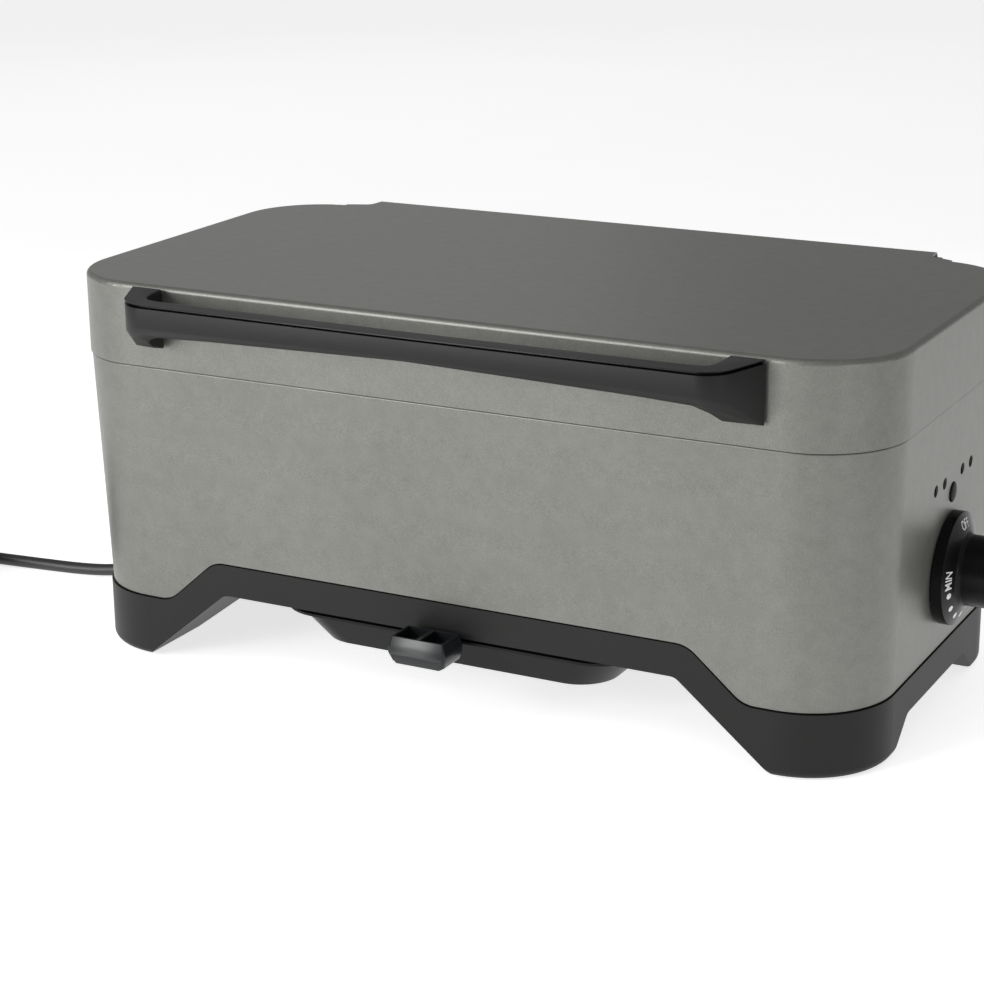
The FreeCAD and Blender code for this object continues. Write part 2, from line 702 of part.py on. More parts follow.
def make_hinge_leaf(side_name, side):
    """The welded hinge half under the lid's cover, with the barrel that turns on the pin."""
    body = new_body(f"hinge_leaf_{side_name}")
    outer = bracket_inner() - size.hinge_play
    middle = side * (outer - size.leaf_length / 2)
    plate_bottom = lid_ceiling - size.leaf_sheet
    sketch = new_sketch(body, "YZ_Plane", middle)
    front = half_width + size.lid_sheet
    rear = cover_rear - size.cover_roll_radius
    half_web = size.leaf_web / 2
    outline(
        sketch,
        [
            (front, plate_bottom),
            (hinge_y - half_web, plate_bottom),
            (hinge_y - half_web, hinge_height),
            (hinge_y + half_web, hinge_height),
            (hinge_y + half_web, plate_bottom),
            (rear, plate_bottom),
            (rear, lid_ceiling),
            (front, lid_ceiling),
        ],
    )
    pad(body, sketch, size.leaf_length, both=True)
    sketch = new_sketch(body, "YZ_Plane", middle)
    circles(sketch, [(hinge_y, hinge_height)], size.barrel_radius)
    pad(body, sketch, size.leaf_length, both=True)
    round_holes(body, "YZ_Plane", [(hinge_y, hinge_height)], size.pin_radius + size.running_fit, middle, both=True)


# Body shell


def rim_screw_places():
    y = mouth_half_width + size.pan_flange / 2
    return [
        (mouth_shift + step * size.rim_screw_x, side * y)
        for step in (-1, 0, 1)
        for side in (-1, 1)
    ]


def regulator_screw_places():
    half = size.regulator_screw_pitch / 2
    return [(size.dial_y - half, size.dial_height), (size.dial_y + half, size.dial_height)]


def bracket_screw_places():
    x = size.bracket_outer - size.bracket_length / 2
    heights = (bracket_screw_low, size.seam_height - size.bracket_screw_high_drop)
    return [(side * x, height) for side in (-1, 1) for height in heights]


def make_body_shell():
    """The leaning sheet-metal wrap: walls, a turned-in rim and the arched lower edge."""
    body = new_body("body_shell")
    radius = size.corner_radius - size.shell_inset
    trim_height = size.side_edge_height - size.shell_sheet * 3

    def section(height, inset):
        sketch = new_sketch(body, "XY_Plane", height)
        half_x = shell_half(half_length, height, inset)
        half_y = shell_half(half_width, height, inset)
        box_outline(sketch, 0, 0, half_x, half_y, radius - inset)
        return sketch

    loft(body, "PartDesign::AdditiveLoft", section(trim_height, 0), section(size.seam_height, 0))
    inner_low = section(trim_height, size.shell_sheet)
    inner_high = section(rim_underside, size.shell_sheet)
    loft(body, "PartDesign::SubtractiveLoft", inner_low, inner_high)

    round_edges(body, size.rim_edge_radius, lambda edge: edge_lies_at_height(edge, size.seam_height))
    sketch = new_sketch(body, "XY_Plane", size.seam_height)
    box_outline(sketch, mouth_shift, 0, mouth_half_length, mouth_half_width, size.mouth_radius)
    pocket(body, sketch, size.shell_sheet * 2)
    sketch = new_sketch(body, "XZ_Plane")
    outline(sketch, edge_profile(0, half_length + size.corner_radius, trim_height - size.corner_radius))
    pocket(body, sketch, both=True)

    through = size.corner_radius * 2
    sketch = new_sketch(body, "YZ_Plane", half_length - size.corner_radius)
    circles(sketch, [(size.dial_y, size.dial_height)], size.shaft_hole_radius)
    circles(sketch, regulator_screw_places(), size.small_screw_radius + size.screw_play)
    circles(sketch, [(size.dial_y, size.lamp_height)], size.lens_radius + size.lens_play)
    for reach in (size.vent_inner, size.vent_outer):
        vents = [(size.dial_y + side * reach, size.vent_height) for side in (-1, 1)]
        circles(sketch, vents, size.vent_radius)
    pocket(body, sketch, through, backwards=True)
    for side in (-1, 1):
        places = [place for place in bracket_screw_places() if place[0].number * side > 0]
        round_holes(body, "XZ_Plane", places, size.handle_screw_radius + size.screw_play,
                    -half_width + size.corner_radius / 2, through)
    round_holes(body, "XY_Plane", rim_screw_places(), size.small_screw_radius + size.screw_play, size.seam_height,
                size.shell_sheet * 2)


def edge_profile(raise_by, half_x, bottom):
    """The lower edge of the shell in the front view, closed below, or that line raised."""
    side = size.side_edge_height + raise_by
    arch = size.arch_edge_height + raise_by
    slope_end = size.arch_half_length + size.arch_slope_run
    return [
        (-half_x, bottom),
        (-half_x, side),
        (-slope_end, side, size.arch_round),
        (-size.arch_half_length, arch, size.arch_round),
        (size.arch_half_length, arch, size.arch_round),
        (slope_end, side, size.arch_round),
        (half_x, side),
        (half_x, bottom),
    ]


def make_lid_buffers():
    body = new_body("lid_buffers")
    y = half_width - size.lid_sheet - size.lid_hem / 2
    cylinders(body, "XY_Plane", mirrored((size.buffer_x, y)), size.buffer_radius, size.seam_height, size.seam_gap)


def make_hinge_bracket(side_name, side):
    """A cast bracket on the rear wall: a plate, a web with the pin's eye, and the lid stop."""
    body = new_body(f"hinge_bracket_{side_name}")
    middle = side * (size.bracket_outer - size.bracket_length / 2)
    foot = size.seam_height - size.bracket_foot_drop
    shoulder = size.seam_height - size.lid_sheet * 3
    front = half_width + size.seam_gap
    back = front + size.bracket_plate
    half_web = size.bracket_web / 2
    stop_top = hinge_height - size.stop_drop
    sketch = new_sketch(body, "YZ_Plane", middle)
    outline(
        sketch,
        [
            (shell_half(half_width, foot), foot),
            (back, foot),
            (back, stop_top - size.stop_height),
            (back + size.stop_reach, stop_top - size.stop_height),
            (back + size.stop_reach, stop_top),
            (back, stop_top),
            (back, hinge_height - half_web),
            (hinge_y, hinge_height - half_web),
            (hinge_y, hinge_height + half_web),
            (front, hinge_height + half_web),
            (front, shoulder + size.lid_sheet),
            (shell_half(half_width, shoulder), shoulder),
        ],
    )
    pad(body, sketch, size.bracket_length, both=True)
    sketch = new_sketch(body, "YZ_Plane", middle)
    circles(sketch, [(hinge_y, hinge_height)], size.eye_radius)
    pad(body, sketch, size.bracket_length, both=True)
    round_holes(body, "YZ_Plane", [(hinge_y, hinge_height)], size.pin_radius, middle, size.bracket_length * 2,
                both=True)
    places = [place for place in bracket_screw_places() if place[0].number * side > 0]
    round_holes(body, "XZ_Plane", places, size.handle_screw_radius + size.screw_play, both=True)


def make_hinge_pins():
    body = new_body("hinge_pins")
    outer = size.bracket_outer - size.hinge_play
    length = size.bracket_length + size.leaf_length
    for side in (-1, 1):
        sketch = new_sketch(body, "YZ_Plane", side * (outer - length / 2))
        circles(sketch, [(hinge_y, hinge_height)], size.pin_radius)
        pad(body, sketch, length, both=True)


def make_bracket_screws():
    body = new_body("bracket_screws")
    back = half_width + size.seam_gap + size.bracket_plate
    head = size.handle_screw_head_height
    inside = shell_half(half_width, bracket_screw_low, size.shell_sheet) - size.bracket_screw_grip
    cylinders(body, "XZ_Plane", bracket_screw_places(), size.handle_screw_head, -back - head, head)
    cylinders(body, "XZ_Plane", bracket_screw_places(), size.handle_screw_radius, -back, back - inside)


# Base


def tunnel_profile(raise_by, bottom):
    """The clear space under the base in the front view, or the floor above it."""
    lift = size.tunnel_height + raise_by
    start = size.foot_start + raise_by
    return [
        (-start, bottom),
        (-start, size.pad_stand + raise_by),
        (-size.tunnel_half_length, lift, size.tunnel_round),
        (size.tunnel_half_length, lift, size.tunnel_round),
        (start, size.pad_stand + raise_by),
        (start, bottom),
    ]


def side_arch_profile(raise_by, bottom):
    lift = size.side_arch_height + raise_by
    start = size.side_foot_start + raise_by
    return [
        (-start, bottom),
        (-start, size.pad_stand + raise_by),
        (-size.side_arch_half_width, lift, size.tunnel_round),
        (size.side_arch_half_width, lift, size.tunnel_round),
        (start, size.pad_stand + raise_by),
        (start, bottom),
    ]


def lip_half(half_outside):
    return shell_half(half_outside, size.side_edge_height, size.shell_sheet + size.lip_clearance)


def make_base_frame():
    """One moulding: outer walls, four hollow feet, a floor that arches between them and a lip."""
    body = new_body("base_frame")
    bottom = size.pad_stand
    below = bottom - size.foot_start
    sketch = new_sketch(body, "XY_Plane", bottom)
    box_outline(sketch, 0, 0, base_half_length, base_half_width, size.base_radius)
    pad(body, sketch, base_arch_top - bottom)
    round_edges(body, size.foot_edge_radius, lambda edge: edge_lies_at_height(edge, bottom))
    sketch = new_sketch(body, "XZ_Plane")
    top_cut = edge_profile(-size.joint_gap, base_half_length + size.base_radius, size.lid_length)
    outline(sketch, top_cut)
    pocket(body, sketch, both=True)

    lip_x = lip_half(half_length)
    lip_y = lip_half(half_width)
    lip_corner = size.corner_radius - size.shell_inset - size.shell_sheet - size.lip_clearance
    sketch = new_sketch(body, "XY_Plane", size.side_arch_height)
    box_outline(sketch, 0, 0, lip_x, lip_y, lip_corner)
    pad(body, sketch, size.arch_edge_height + size.lip_height - size.side_arch_height)
    sketch = new_sketch(body, "XZ_Plane")
    outline(sketch, edge_profile(size.lip_height, base_half_length + size.base_radius, size.lid_length))
    pocket(body, sketch, both=True)

    room_x = lip_x - size.lip_wall
    room_y = lip_y - size.lip_wall
    room_corner = lip_corner - size.lip_wall
    sketch = new_sketch(body, "XY_Plane", bottom + size.base_wall)
    box_outline(sketch, 0, 0, room_x, room_y, room_corner)
    pocket(body, sketch, backwards=True)

    ridge_bottom = bottom + size.base_wall
    sketch = new_sketch(body, "XZ_Plane")
    outline(sketch, tunnel_profile(size.base_wall, ridge_bottom - size.base_wall / 2))
    pad(body, sketch, room_y * 2 + size.lip_wall, both=True)
    sketch = new_sketch(body, "YZ_Plane")
    outline(sketch, side_arch_profile(size.base_wall, ridge_bottom - size.base_wall / 2))
    pad(body, sketch, room_x * 2 + size.lip_wall, both=True)
    sketch = new_sketch(body, "XZ_Plane")
    outline(sketch, tunnel_profile(0, below))
    pocket(body, sketch, both=True)
    sketch = new_sketch(body, "YZ_Plane")
    outline(sketch, side_arch_profile(0, below))
    pocket(body, sketch, both=True)

    floor_cut = size.base_wall * 2
    round_holes(body, "XY_Plane", [(0, 0)], size.drip_hole_radius, floor_top, floor_cut)
    round_holes(body, "XY_Plane", stud_places(), size.stud_radius + size.screw_play, floor_top, floor_cut)
    round_holes(body, "XY_Plane", rail_screw_places(), size.small_screw_radius + size.running_fit, floor_top,
                floor_cut)
    round_holes(body, "XY_Plane", pad_places(), size.pad_radius + size.running_fit, bottom,
                size.pad_thickness - size.pad_stand, backwards=True)
    gland = [(size.gland_y, size.gland_height)]
    round_holes(body, "YZ_Plane", gland, size.gland_hole_radius + size.screw_play, -room_x + size.base_radius,
                size.base_radius * 2)


def pad_places():
    return mirrored((base_half_length - size.pad_from_end, base_half_width - size.pad_from_side))


def stud_places():
    return mirrored((size.stud_x, size.stud_y))


def rail_screw_places():
    x = size.tray_top_half_length + size.tray_rim / 2
    return mirrored((x, size.rail_screw_reach))


def make_foot_pads():
    body = new_body("foot_pads")
    cylinders(body, "XY_Plane", pad_places(), size.pad_radius, 0, size.pad_thickness)


# Pan, heater and plate


def make_inner_pan():
    """The stamped reflector pan: a flange under the rim, a ledge for the plate, and the well."""
    body = new_body("inner_pan")
    sheet_gap = size.pan_sheet
    half_x = mouth_half_length - size.mouth_clearance
    half_y = mouth_half_width - size.mouth_clearance
    radius = size.mouth_radius - size.mouth_clearance
    ledge_underside = ledge_top - sheet_gap

    def section(height, inset, lean_from=None):
        lean = 0 if lean_from is None else size.pan_lean * (lean_from - height)
        total = inset + lean
        sketch = new_sketch(body, "XY_Plane", height)
        box_outline(sketch, mouth_shift, 0, half_x - total, half_y - total, radius - inset)
        return sketch

    flange = size.mouth_clearance + size.pan_flange
    sketch = new_sketch(body, "XY_Plane", rim_underside - sheet_gap)
    box_outline(sketch, mouth_shift, 0, half_x + flange, half_y + flange, radius + flange)
    pad(body, sketch, sheet_gap)
    sketch = section(ledge_underside, 0)
    pad(body, sketch, rim_underside - ledge_underside)
    well = size.ledge_width
    well_low = section(pan_underside, well, ledge_underside)
    well_high = section(ledge_underside, well)
    loft(body, "PartDesign::AdditiveLoft", well_low, well_high)
    sketch = section(ledge_top, sheet_gap)
    pocket(body, sketch, rim_underside - ledge_top + sheet_gap, backwards=True)
    inner = size.ledge_width + sheet_gap
    loft(body, "PartDesign::SubtractiveLoft", section(pan_floor, inner, ledge_top), section(ledge_top, inner))

    round_holes(body, "XY_Plane", [(0, 0)], size.drain_radius, pan_floor, sheet_gap * 2)
    round_holes(body, "XY_Plane", rim_screw_places(), size.small_screw_radius, rim_underside, sheet_gap * 2)
    ends = heater_end_places()
    round_holes(body, "YZ_Plane", ends, size.bush_radius + size.screw_play, heater_right, heater_right,
                backwards=True)


def heater_end_places():
    reach = size.heater_bend_radius * 3
    return [(-reach, heater_height), (reach, heater_height)]


def make_heating_element():
    """One tube bent into four long legs, with both ends at the dial's end of the pan."""
    body = new_body("heating_element")
    path = new_sketch(body, "XY_Plane", heater_height)
    bend = size.heater_bend_radius
    left = -heater_left
    right = heater_right
    stations = [
        (heater_end, -bend * 3, left, -bend * 3),
        (left, -bend, right, -bend),
        (right, bend, left, bend),
        (left, bend * 3, heater_end, bend * 3),
    ]
    turns = [(left, -bend * 2, -1), (right, 0, 1), (left, bend * 2, -1)]
    legs = []
    for x1, y1, x2, y2 in stations:
        start = Vector(as_size(x1).number, as_size(y1).number, 0)
        end = Vector(as_size(x2).number, as_size(y2).number, 0)
        leg = path.addGeometry(Part.LineSegment(start, end))
        fix_point(path, leg, 1, x1, y1)
        fix_point(path, leg, 2, x2, y2)
        legs.append(leg)
    for index, (x, y, bulge) in enumerate(turns):
        radius = bend.number
        centre = Vector(as_size(x).number, as_size(y).number, 0)
        low = centre - Vector(0, radius, 0)
        high = centre + Vector(0, radius, 0)
        arc = path.addGeometry(Part.Arc(low, centre + Vector(bulge * radius, 0, 0), high))
        at_low, at_high = (1, 2) if bulge > 0 else (2, 1)
        path.addConstraint(Sketcher.Constraint("Coincident", legs[index], 2, arc, at_low))
        path.addConstraint(Sketcher.Constraint("Coincident", arc, at_high, legs[index + 1], 1))
        fix(path, "DistanceX", arc, x, 3)
    profile = new_sketch(body, "YZ_Plane", heater_end)
    circles(profile, [(-bend * 3, heater_height)], size.heater_radius)
    doc.recompute()
    pipe = body.newObject("PartDesign::AdditivePipe", "heating_element_pipe")
    pipe.Profile = profile
    pipe.Spine = (path, [])
    doc.recompute()


def make_heater_supports():
    """Three stamped strips that stand on the pan's floor and carry the tube in open notches."""
    body = new_body("heater_supports")
    bend = size.heater_bend_radius
    centres = [(bend * step, heater_height) for step in (-3, -1, 1, 3)]
    for index in range(3):
        start = size.support_first + size.support_pitch * index
        sketch = new_sketch(body, "YZ_Plane", start)
        middle = (pan_floor + heater_height) / 2
        box_outline(sketch, 0, middle, size.support_half_width, middle - pan_floor)
        pad(body, sketch, size.support_sheet)
        sketch = new_sketch(body, "XY_Plane", pan_floor)
        box_outline(sketch, start + size.support_foot / 2, 0, size.support_foot / 2, size.support_half_width)
        pad(body, sketch, size.support_sheet)
    round_holes(body, "YZ_Plane", centres, size.heater_radius + size.screw_play, both=True)


def make_heater_bushes():
    """Ceramic sleeves that carry the heater's ends through the pan's wall."""
    body = new_body("heater_bushes")
    end = heater_end - size.heater_radius
    cylinders(body, "YZ_Plane", heater_end_places(), size.bush_radius, end - size.bush_length, size.bush_length)
    cylinders(body, "YZ_Plane", heater_end_places(), size.bush_flange_radius, end - size.heater_radius,
              size.heater_radius)
    round_holes(body, "YZ_Plane", heater_end_places(), size.heater_radius + size.running_fit, both=True)


def make_heater_terminals():
    body = new_body("heater_terminals")
    cylinders(body, "YZ_Plane", heater_end_places(), size.terminal_radius, heater_end, size.terminal_length)


def make_grill_plate():
    """The cast plate: a flat floor, a raised rim, ribs from front to back and a drain hole."""
    body = new_body("grill_plate")
    gap = size.mouth_clearance + size.pan_sheet + size.plate_clearance
    half_x = mouth_half_length - gap
    half_y = mouth_half_width - gap
    radius = size.mouth_radius - gap
    sketch = new_sketch(body, "XY_Plane", ledge_top)
    box_outline(sketch, mouth_shift, 0, half_x, half_y, radius)
    pad(body, sketch, size.plate_base + size.rib_height)
    sketch = new_sketch(body, "XY_Plane", ledge_top + size.plate_base)
    rim = size.plate_rim
    box_outline(sketch, mouth_shift, 0, half_x - rim, half_y - rim, radius - rim)
    pocket(body, sketch, size.rib_height * 2, backwards=True)

    span = half_x - rim - size.gutter_width
    count = 2 * int(span.number / size.rib_pitch.number) + 1
    rib_half = half_y - rim - size.gutter_width
    first = mouth_shift - (count - 1) / 2 * size.rib_pitch
    sketch = new_sketch(body, "XY_Plane", ledge_top + size.plate_base)
    box_outline(sketch, first, 0, size.rib_width / 2, rib_half, size.rib_width / 2.2)
    rib = pad(body, sketch, size.rib_height)
    row = body.newObject("PartDesign::LinearPattern", "grill_plate_ribs")
    row.Originals = [rib]
    row.Direction = (sketch, ["H_Axis"])
    row.Mode = "Spacing"
    bind(row, "Offset", size.rib_pitch)
    row.Occurrences = count
    body.Tip = row
    doc.recompute()
    drain_y = -(half_y - rim - size.gutter_width / 2 - size.plate_drain_radius / 3)
    round_holes(body, "XY_Plane", [(0, drain_y)], size.plate_drain_radius, ledge_top + size.plate_base + size.rib_height,
                size.plate_base * 4)


def make_drain_spout():
    body = new_body("drain_spout")
    flange = size.drain_radius + size.spout_wall * 3
    cylinders(body, "XY_Plane", [(0, 0)], size.drain_radius, size.spout_end_height,
              pan_underside - size.spout_end_height)
    cylinders(body, "XY_Plane", [(0, 0)], flange, pan_underside - size.spout_wall, size.spout_wall)
    round_holes(body, "XY_Plane", [(0, 0)], size.drain_radius - size.spout_wall, both=True)


def make_heat_shield():
    body = new_body("heat_shield")
    sketch = new_sketch(body, "XY_Plane", size.shield_height)
    box_outline(sketch, 0, 0, size.shield_half_length, size.shield_half_width, size.corner_radius / 2)
    pad(body, sketch, size.pan_sheet)
    holes = size.stud_radius + size.screw_play
    round_holes(body, "XY_Plane", stud_places(), holes, size.shield_height, backwards=True)
    round_holes(body, "XY_Plane", [(0, 0)], size.drip_hole_radius, size.shield_height, backwards=True)


def make_pan_studs():
    body = new_body("pan_studs")
    start = size.tunnel_height - size.nut_height - size.spout_wall
    cylinders(body, "XY_Plane", stud_places(), size.stud_radius, start, pan_underside - start)


def make_stud_spacers():
    body = new_body("stud_spacers")
    cylinders(body, "XY_Plane", stud_places(), size.spacer_radius, floor_top, size.shield_height - floor_top)
    shield_top = size.shield_height + size.pan_sheet
    cylinders(body, "XY_Plane", stud_places(), size.spacer_radius, shield_top, pan_underside - shield_top)
    round_holes(body, "XY_Plane", stud_places(), size.stud_radius + size.running_fit, both=True)


def make_stud_nuts():
    body = new_body("stud_nuts")
    start = size.tunnel_height - size.nut_height
    cylinders(body, "XY_Plane", stud_places(), size.nut_radius, start, size.nut_height)
    round_holes(body, "XY_Plane", stud_places(), size.stud_radius, both=True)


def make_rim_screws():
    body = new_body("rim_screws")
    depth = size.shell_sheet + size.pan_sheet * 3
    cylinders(body, "XY_Plane", rim_screw_places(), size.small_screw_radius, size.seam_height - depth, depth)
    cylinders(body, "XY_Plane", rim_screw_places(), size.small_head_radius, size.seam_height,
              size.rim_screw_head / 2)


# Dial, regulator and lamp


def dial_start():
    return dial_face + size.dial_gap


def make_control_dial():
    """The turned shape of the dial about its own axis, which is the sketch's level line."""
    body = new_body("control_dial", dial_start(), size.dial_y, size.dial_height)
    sketch = new_sketch(body, "XY_Plane")
    face_root = size.skirt_depth + size.skirt_rise
    shaft_room = size.shaft_depth_in_dial + size.running_fit
    room_depth = size.skirt_depth - size.skirt_wall
    outline(
        sketch,
        [
            (0, size.shaft_radius + size.running_fit),
            (0, size.hub_radius),
            (room_depth, size.hub_radius),
            (room_depth, size.skirt_radius - size.skirt_wall),
            (0, size.skirt_radius - size.skirt_wall),
            (0, size.skirt_radius),
            (size.skirt_depth, size.skirt_radius),
            (face_root, size.grip_radius, size.grip_edge_radius * 2),
            (size.dial_depth, size.grip_radius, size.grip_edge_radius),
            (size.dial_depth, 0),
            (shaft_room, 0),
            (shaft_room, size.shaft_radius + size.running_fit),
        ],
    )
    revolve(body, sketch, "H_Axis")


def make_regulator_shaft():
    body = new_body("regulator_shaft", dial_start(), size.dial_y, size.dial_height)
    tail = size.regulator_depth / 2
    cylinders(body, "YZ_Plane", [(0, 0)], size.shaft_radius, -tail, tail + size.shaft_depth_in_dial)
    sketch = new_sketch(body, "YZ_Plane", size.shaft_depth_in_dial)
    flat = size.shaft_radius - size.shaft_flat
    outline(
        sketch,
        [
            (-size.shaft_radius, flat),
            (size.shaft_radius, flat),
            (size.shaft_radius, size.shaft_radius * 2),
            (-size.shaft_radius, size.shaft_radius * 2),
        ],
    )
    pocket(body, sketch, size.shaft_depth_in_dial * 0.7)


def regulator_face():
    return shell_half(half_length, size.dial_height - size.regulator_height / 2, size.shell_sheet) - size.screw_play


def make_regulator():
    """The energy regulator behind the wall: a case, a front bush for the shaft and its tabs."""
    body = new_body("regulator")
    face = regulator_face()
    sketch = new_sketch(body, "YZ_Plane", face - size.regulator_depth)
    half_y = size.regulator_width / 2
    half_z = size.regulator_height / 2
    box_outline(sketch, size.dial_y, size.dial_height, half_y, half_z, size.shaft_radius)
    pad(body, sketch, size.regulator_depth)
    centre = [(size.dial_y, size.dial_height)]
    round_holes(body, "YZ_Plane", centre, size.shaft_radius + size.running_fit, face, size.regulator_depth * 0.6)
    round_holes(body, "YZ_Plane", regulator_screw_places(), size.small_screw_radius + size.running_fit, face,
                size.regulator_depth * 0.3)


def make_regulator_screws():
    body = new_body("regulator_screws")
    seat = dial_face + size.shell_lean * size.small_head_radius
    face = regulator_face()
    depth = size.regulator_depth * 0.3 - size.running_fit
    cylinders(body, "YZ_Plane", regulator_screw_places(), size.small_screw_radius, face - depth, seat - face + depth)
    cylinders(body, "YZ_Plane", regulator_screw_places(), size.small_head_radius, seat, size.small_head_height)


def lamp_front():
    return shell_half(half_length, size.lamp_height - size.lamp_radius, size.shell_sheet) - size.screw_play


def make_pilot_lens():
    body = new_body("pilot_lens")
    cylinders(body, "YZ_Plane", [(size.dial_y, size.lamp_height)], size.lens_radius, lamp_front(), size.lens_depth)


def make_lamp_holder():
    body = new_body("lamp_holder")
    centre = [(size.dial_y, size.lamp_height)]
    cylinders(body, "YZ_Plane", centre, size.lamp_radius, lamp_front() - size.lamp_depth, size.lamp_depth)


# Drip drawer


def make_drip_tray():
    """The sloping tray: a loft between its bottom and top outlines, hollowed, with a rim."""
    body = new_body("drip_tray")
    middle = -size.tray_front + size.tray_depth / 2
    half_x = size.tray_top_half_length
    half_y = size.tray_depth / 2
    drop = size.tray_rim_height - size.tray_bottom_height
    narrowing_x = (half_x - size.tray_bottom_half_length) / drop
    narrowing_y = size.tray_slope / drop

    def section(height, inset):
        down = size.tray_rim_height - height
        sketch = new_sketch(body, "XY_Plane", height)
        section_x = half_x - narrowing_x * down - inset
        section_y = half_y - narrowing_y * down - inset
        box_outline(sketch, 0, middle, section_x, section_y, size.tray_radius - inset)
        return sketch

    low = section(size.tray_bottom_height, 0)
    high = section(size.tray_rim_height, 0)
    loft(body, "PartDesign::AdditiveLoft", low, high)
    sketch = new_sketch(body, "XY_Plane", size.tray_rim_height - size.tray_wall)
    rim = size.tray_rim
    box_outline(sketch, 0, middle, half_x + rim, half_y + rim, size.tray_radius + rim)
    pad(body, sketch, size.tray_wall)
    low = section(size.tray_bottom_height + size.tray_wall, size.tray_wall)
    high = section(size.tray_rim_height, size.tray_wall)
    loft(body, "PartDesign::SubtractiveLoft", low, high)
    rim_y = -(size.tray_front + size.tray_rim / 2)
    round_holes(body, "XY_Plane", grip_screw_places(rim_y), size.small_screw_radius + size.screw_play,
                size.tray_rim_height, size.tray_wall)


def grip_screw_places(y):
    return [(side * size.grip_screw_half_pitch, y) for side in (-1, 1)]


def make_tray_grip():
    """The drawer's grip: an arm under the tray's rim that ends in a raised, bevelled front."""
    body = new_body("tray_grip")
    rim_front = size.tray_front + size.tray_rim
    rim_under = size.tray_rim_height - size.tray_wall
    raised_back = size.grip_front - size.grip_depth
    sketch = new_sketch(body, "YZ_Plane")
    outline(
        sketch,
        [
            (-size.grip_front, size.grip_bottom_height + size.grip_bevel),
            (-size.grip_front, size.grip_top_height, size.grip_bevel / 2),
            (-raised_back, size.grip_top_height, size.grip_bevel / 2),
            (-raised_back, grip_clear_height),
            (-rim_front, grip_clear_height),
            (-rim_front, rim_under),
            (-rim_front + size.tray_rim, rim_under),
            (-rim_front + size.tray_rim / 2, size.arm_bottom_height),
            (-size.grip_front + size.grip_bevel, size.grip_bottom_height),
        ],
    )
    pad(body, sketch, size.grip_half_length * 2, both=True)

    def at_end(edge):
        box = edge.BoundBox
        across = near(box.XMin, box.XMax)
        in_front = box.YMin < -raised_back.number + size.grip_bevel.number
        return across and in_front and near(abs(box.XMin), size.grip_half_length)

    round_edges(body, size.grip_bevel / 3, at_end)
    rim_y = -(size.tray_front + size.tray_rim / 2)
    depth = (rim_under - size.arm_bottom_height) * 0.8
    round_holes(body, "XY_Plane", grip_screw_places(rim_y), size.small_screw_radius + size.running_fit, rim_under,
                depth)


def make_grip_screws():
    body = new_body("grip_screws")
    rim_y = -(size.tray_front + size.tray_rim / 2)
    rim_under = size.tray_rim_height - size.tray_wall
    depth = (rim_under - size.arm_bottom_height) * 0.8 - size.running_fit
    places = grip_screw_places(rim_y)
    cylinders(body, "XY_Plane", places, size.small_screw_radius, rim_under - depth, depth + size.tray_wall)
    cylinders(body, "XY_Plane", places, size.tray_rim / 2, size.tray_rim_height, size.rim_screw_head)


def make_tray_rail(side_name, side):
    """A C-shaped runner under the base that holds the tray's rim."""
    body = new_body(f"tray_rail_{side_name}")
    rim_end = size.tray_top_half_length + size.tray_rim
    web_inner = rim_end + size.rail_play
    web_outer = web_inner + size.rail_sheet
    lip_inner = web_inner - size.rail_lip + size.rail_sheet
    lip_top = size.tray_rim_height - size.tray_wall - size.rail_play
    lip_bottom = lip_top - size.rail_sheet
    top = size.tunnel_height
    sketch = new_sketch(body, "XZ_Plane", size.rail_front)
    corners = [
        (web_outer, lip_bottom),
        (lip_inner, lip_bottom),
        (lip_inner, lip_top),
        (web_inner, lip_top),
        (web_inner, top - size.rail_sheet),
        (lip_inner, top - size.rail_sheet),
        (lip_inner, top),
        (web_outer, top),
    ]
    outline(sketch, [(side * x, y) for x, y in corners])
    pad(body, sketch, size.rail_depth, backwards=True)
    places = [place for place in rail_screw_places() if place[0].number * side > 0]
    round_holes(body, "XY_Plane", places, size.small_screw_radius + size.running_fit, top, size.rail_sheet * 1.2)


def make_rail_screws():
    body = new_body("rail_screws")
    places = rail_screw_places()
    start = size.tunnel_height - size.rail_sheet
    length = size.rail_sheet + size.base_wall + size.rim_screw_head
    cylinders(body, "XY_Plane", places, size.small_screw_radius, start, length)
    cylinders(body, "XY_Plane", places, size.small_head_radius, floor_top, size.rim_screw_head)


# Mains cord


def number(value):
    return as_size(value).number


def rounded_path(points):
    """Straight runs joined by tangent arcs, each as large as its two runs allow."""
    edges = []
    radii = []
    start = points[0]
    for before, corner, after in zip(points, points[1:], points[2:]):
        back = before - corner
        ahead = after - corner
        turn = math.pi - back.getAngle(ahead)
        reach = 0.45 * min(back.Length, ahead.Length)
        radii.append(reach / math.tan(turn / 2))
        arc_start = corner + back.normalize() * reach
        arc_end = corner + ahead.normalize() * reach
        inward = (back + ahead).normalize()
        to_centre = radii[-1] / math.cos(turn / 2)
        middle = corner + inward * (to_centre - radii[-1])
        edges.append(Part.LineSegment(start, arc_start).toShape())
        edges.append(Part.Arc(arc_start, middle, arc_end).toShape())
        start = arc_end
    edges.append(Part.LineSegment(start, points[-1]).toShape())
    return edges, radii


def tube(edges, radius):
    """A round solid along a chain of edges, checked against its section times its length."""
    wire = Part.Wire(edges)
    first = edges[0]
    direction = first.tangentAt(first.FirstParameter)
    section = Part.Wire(Part.Circle(first.valueAt(first.FirstParameter), direction, radius).toShape())
    solid = wire.makePipeShell([section], True, False)
    expected = math.pi * radius**2 * wire.Length
    if abs(solid.Volume / expected - 1) > 0.01:
        raise RuntimeError("a tube's volume does not match its length")
    return solid, wire.Length


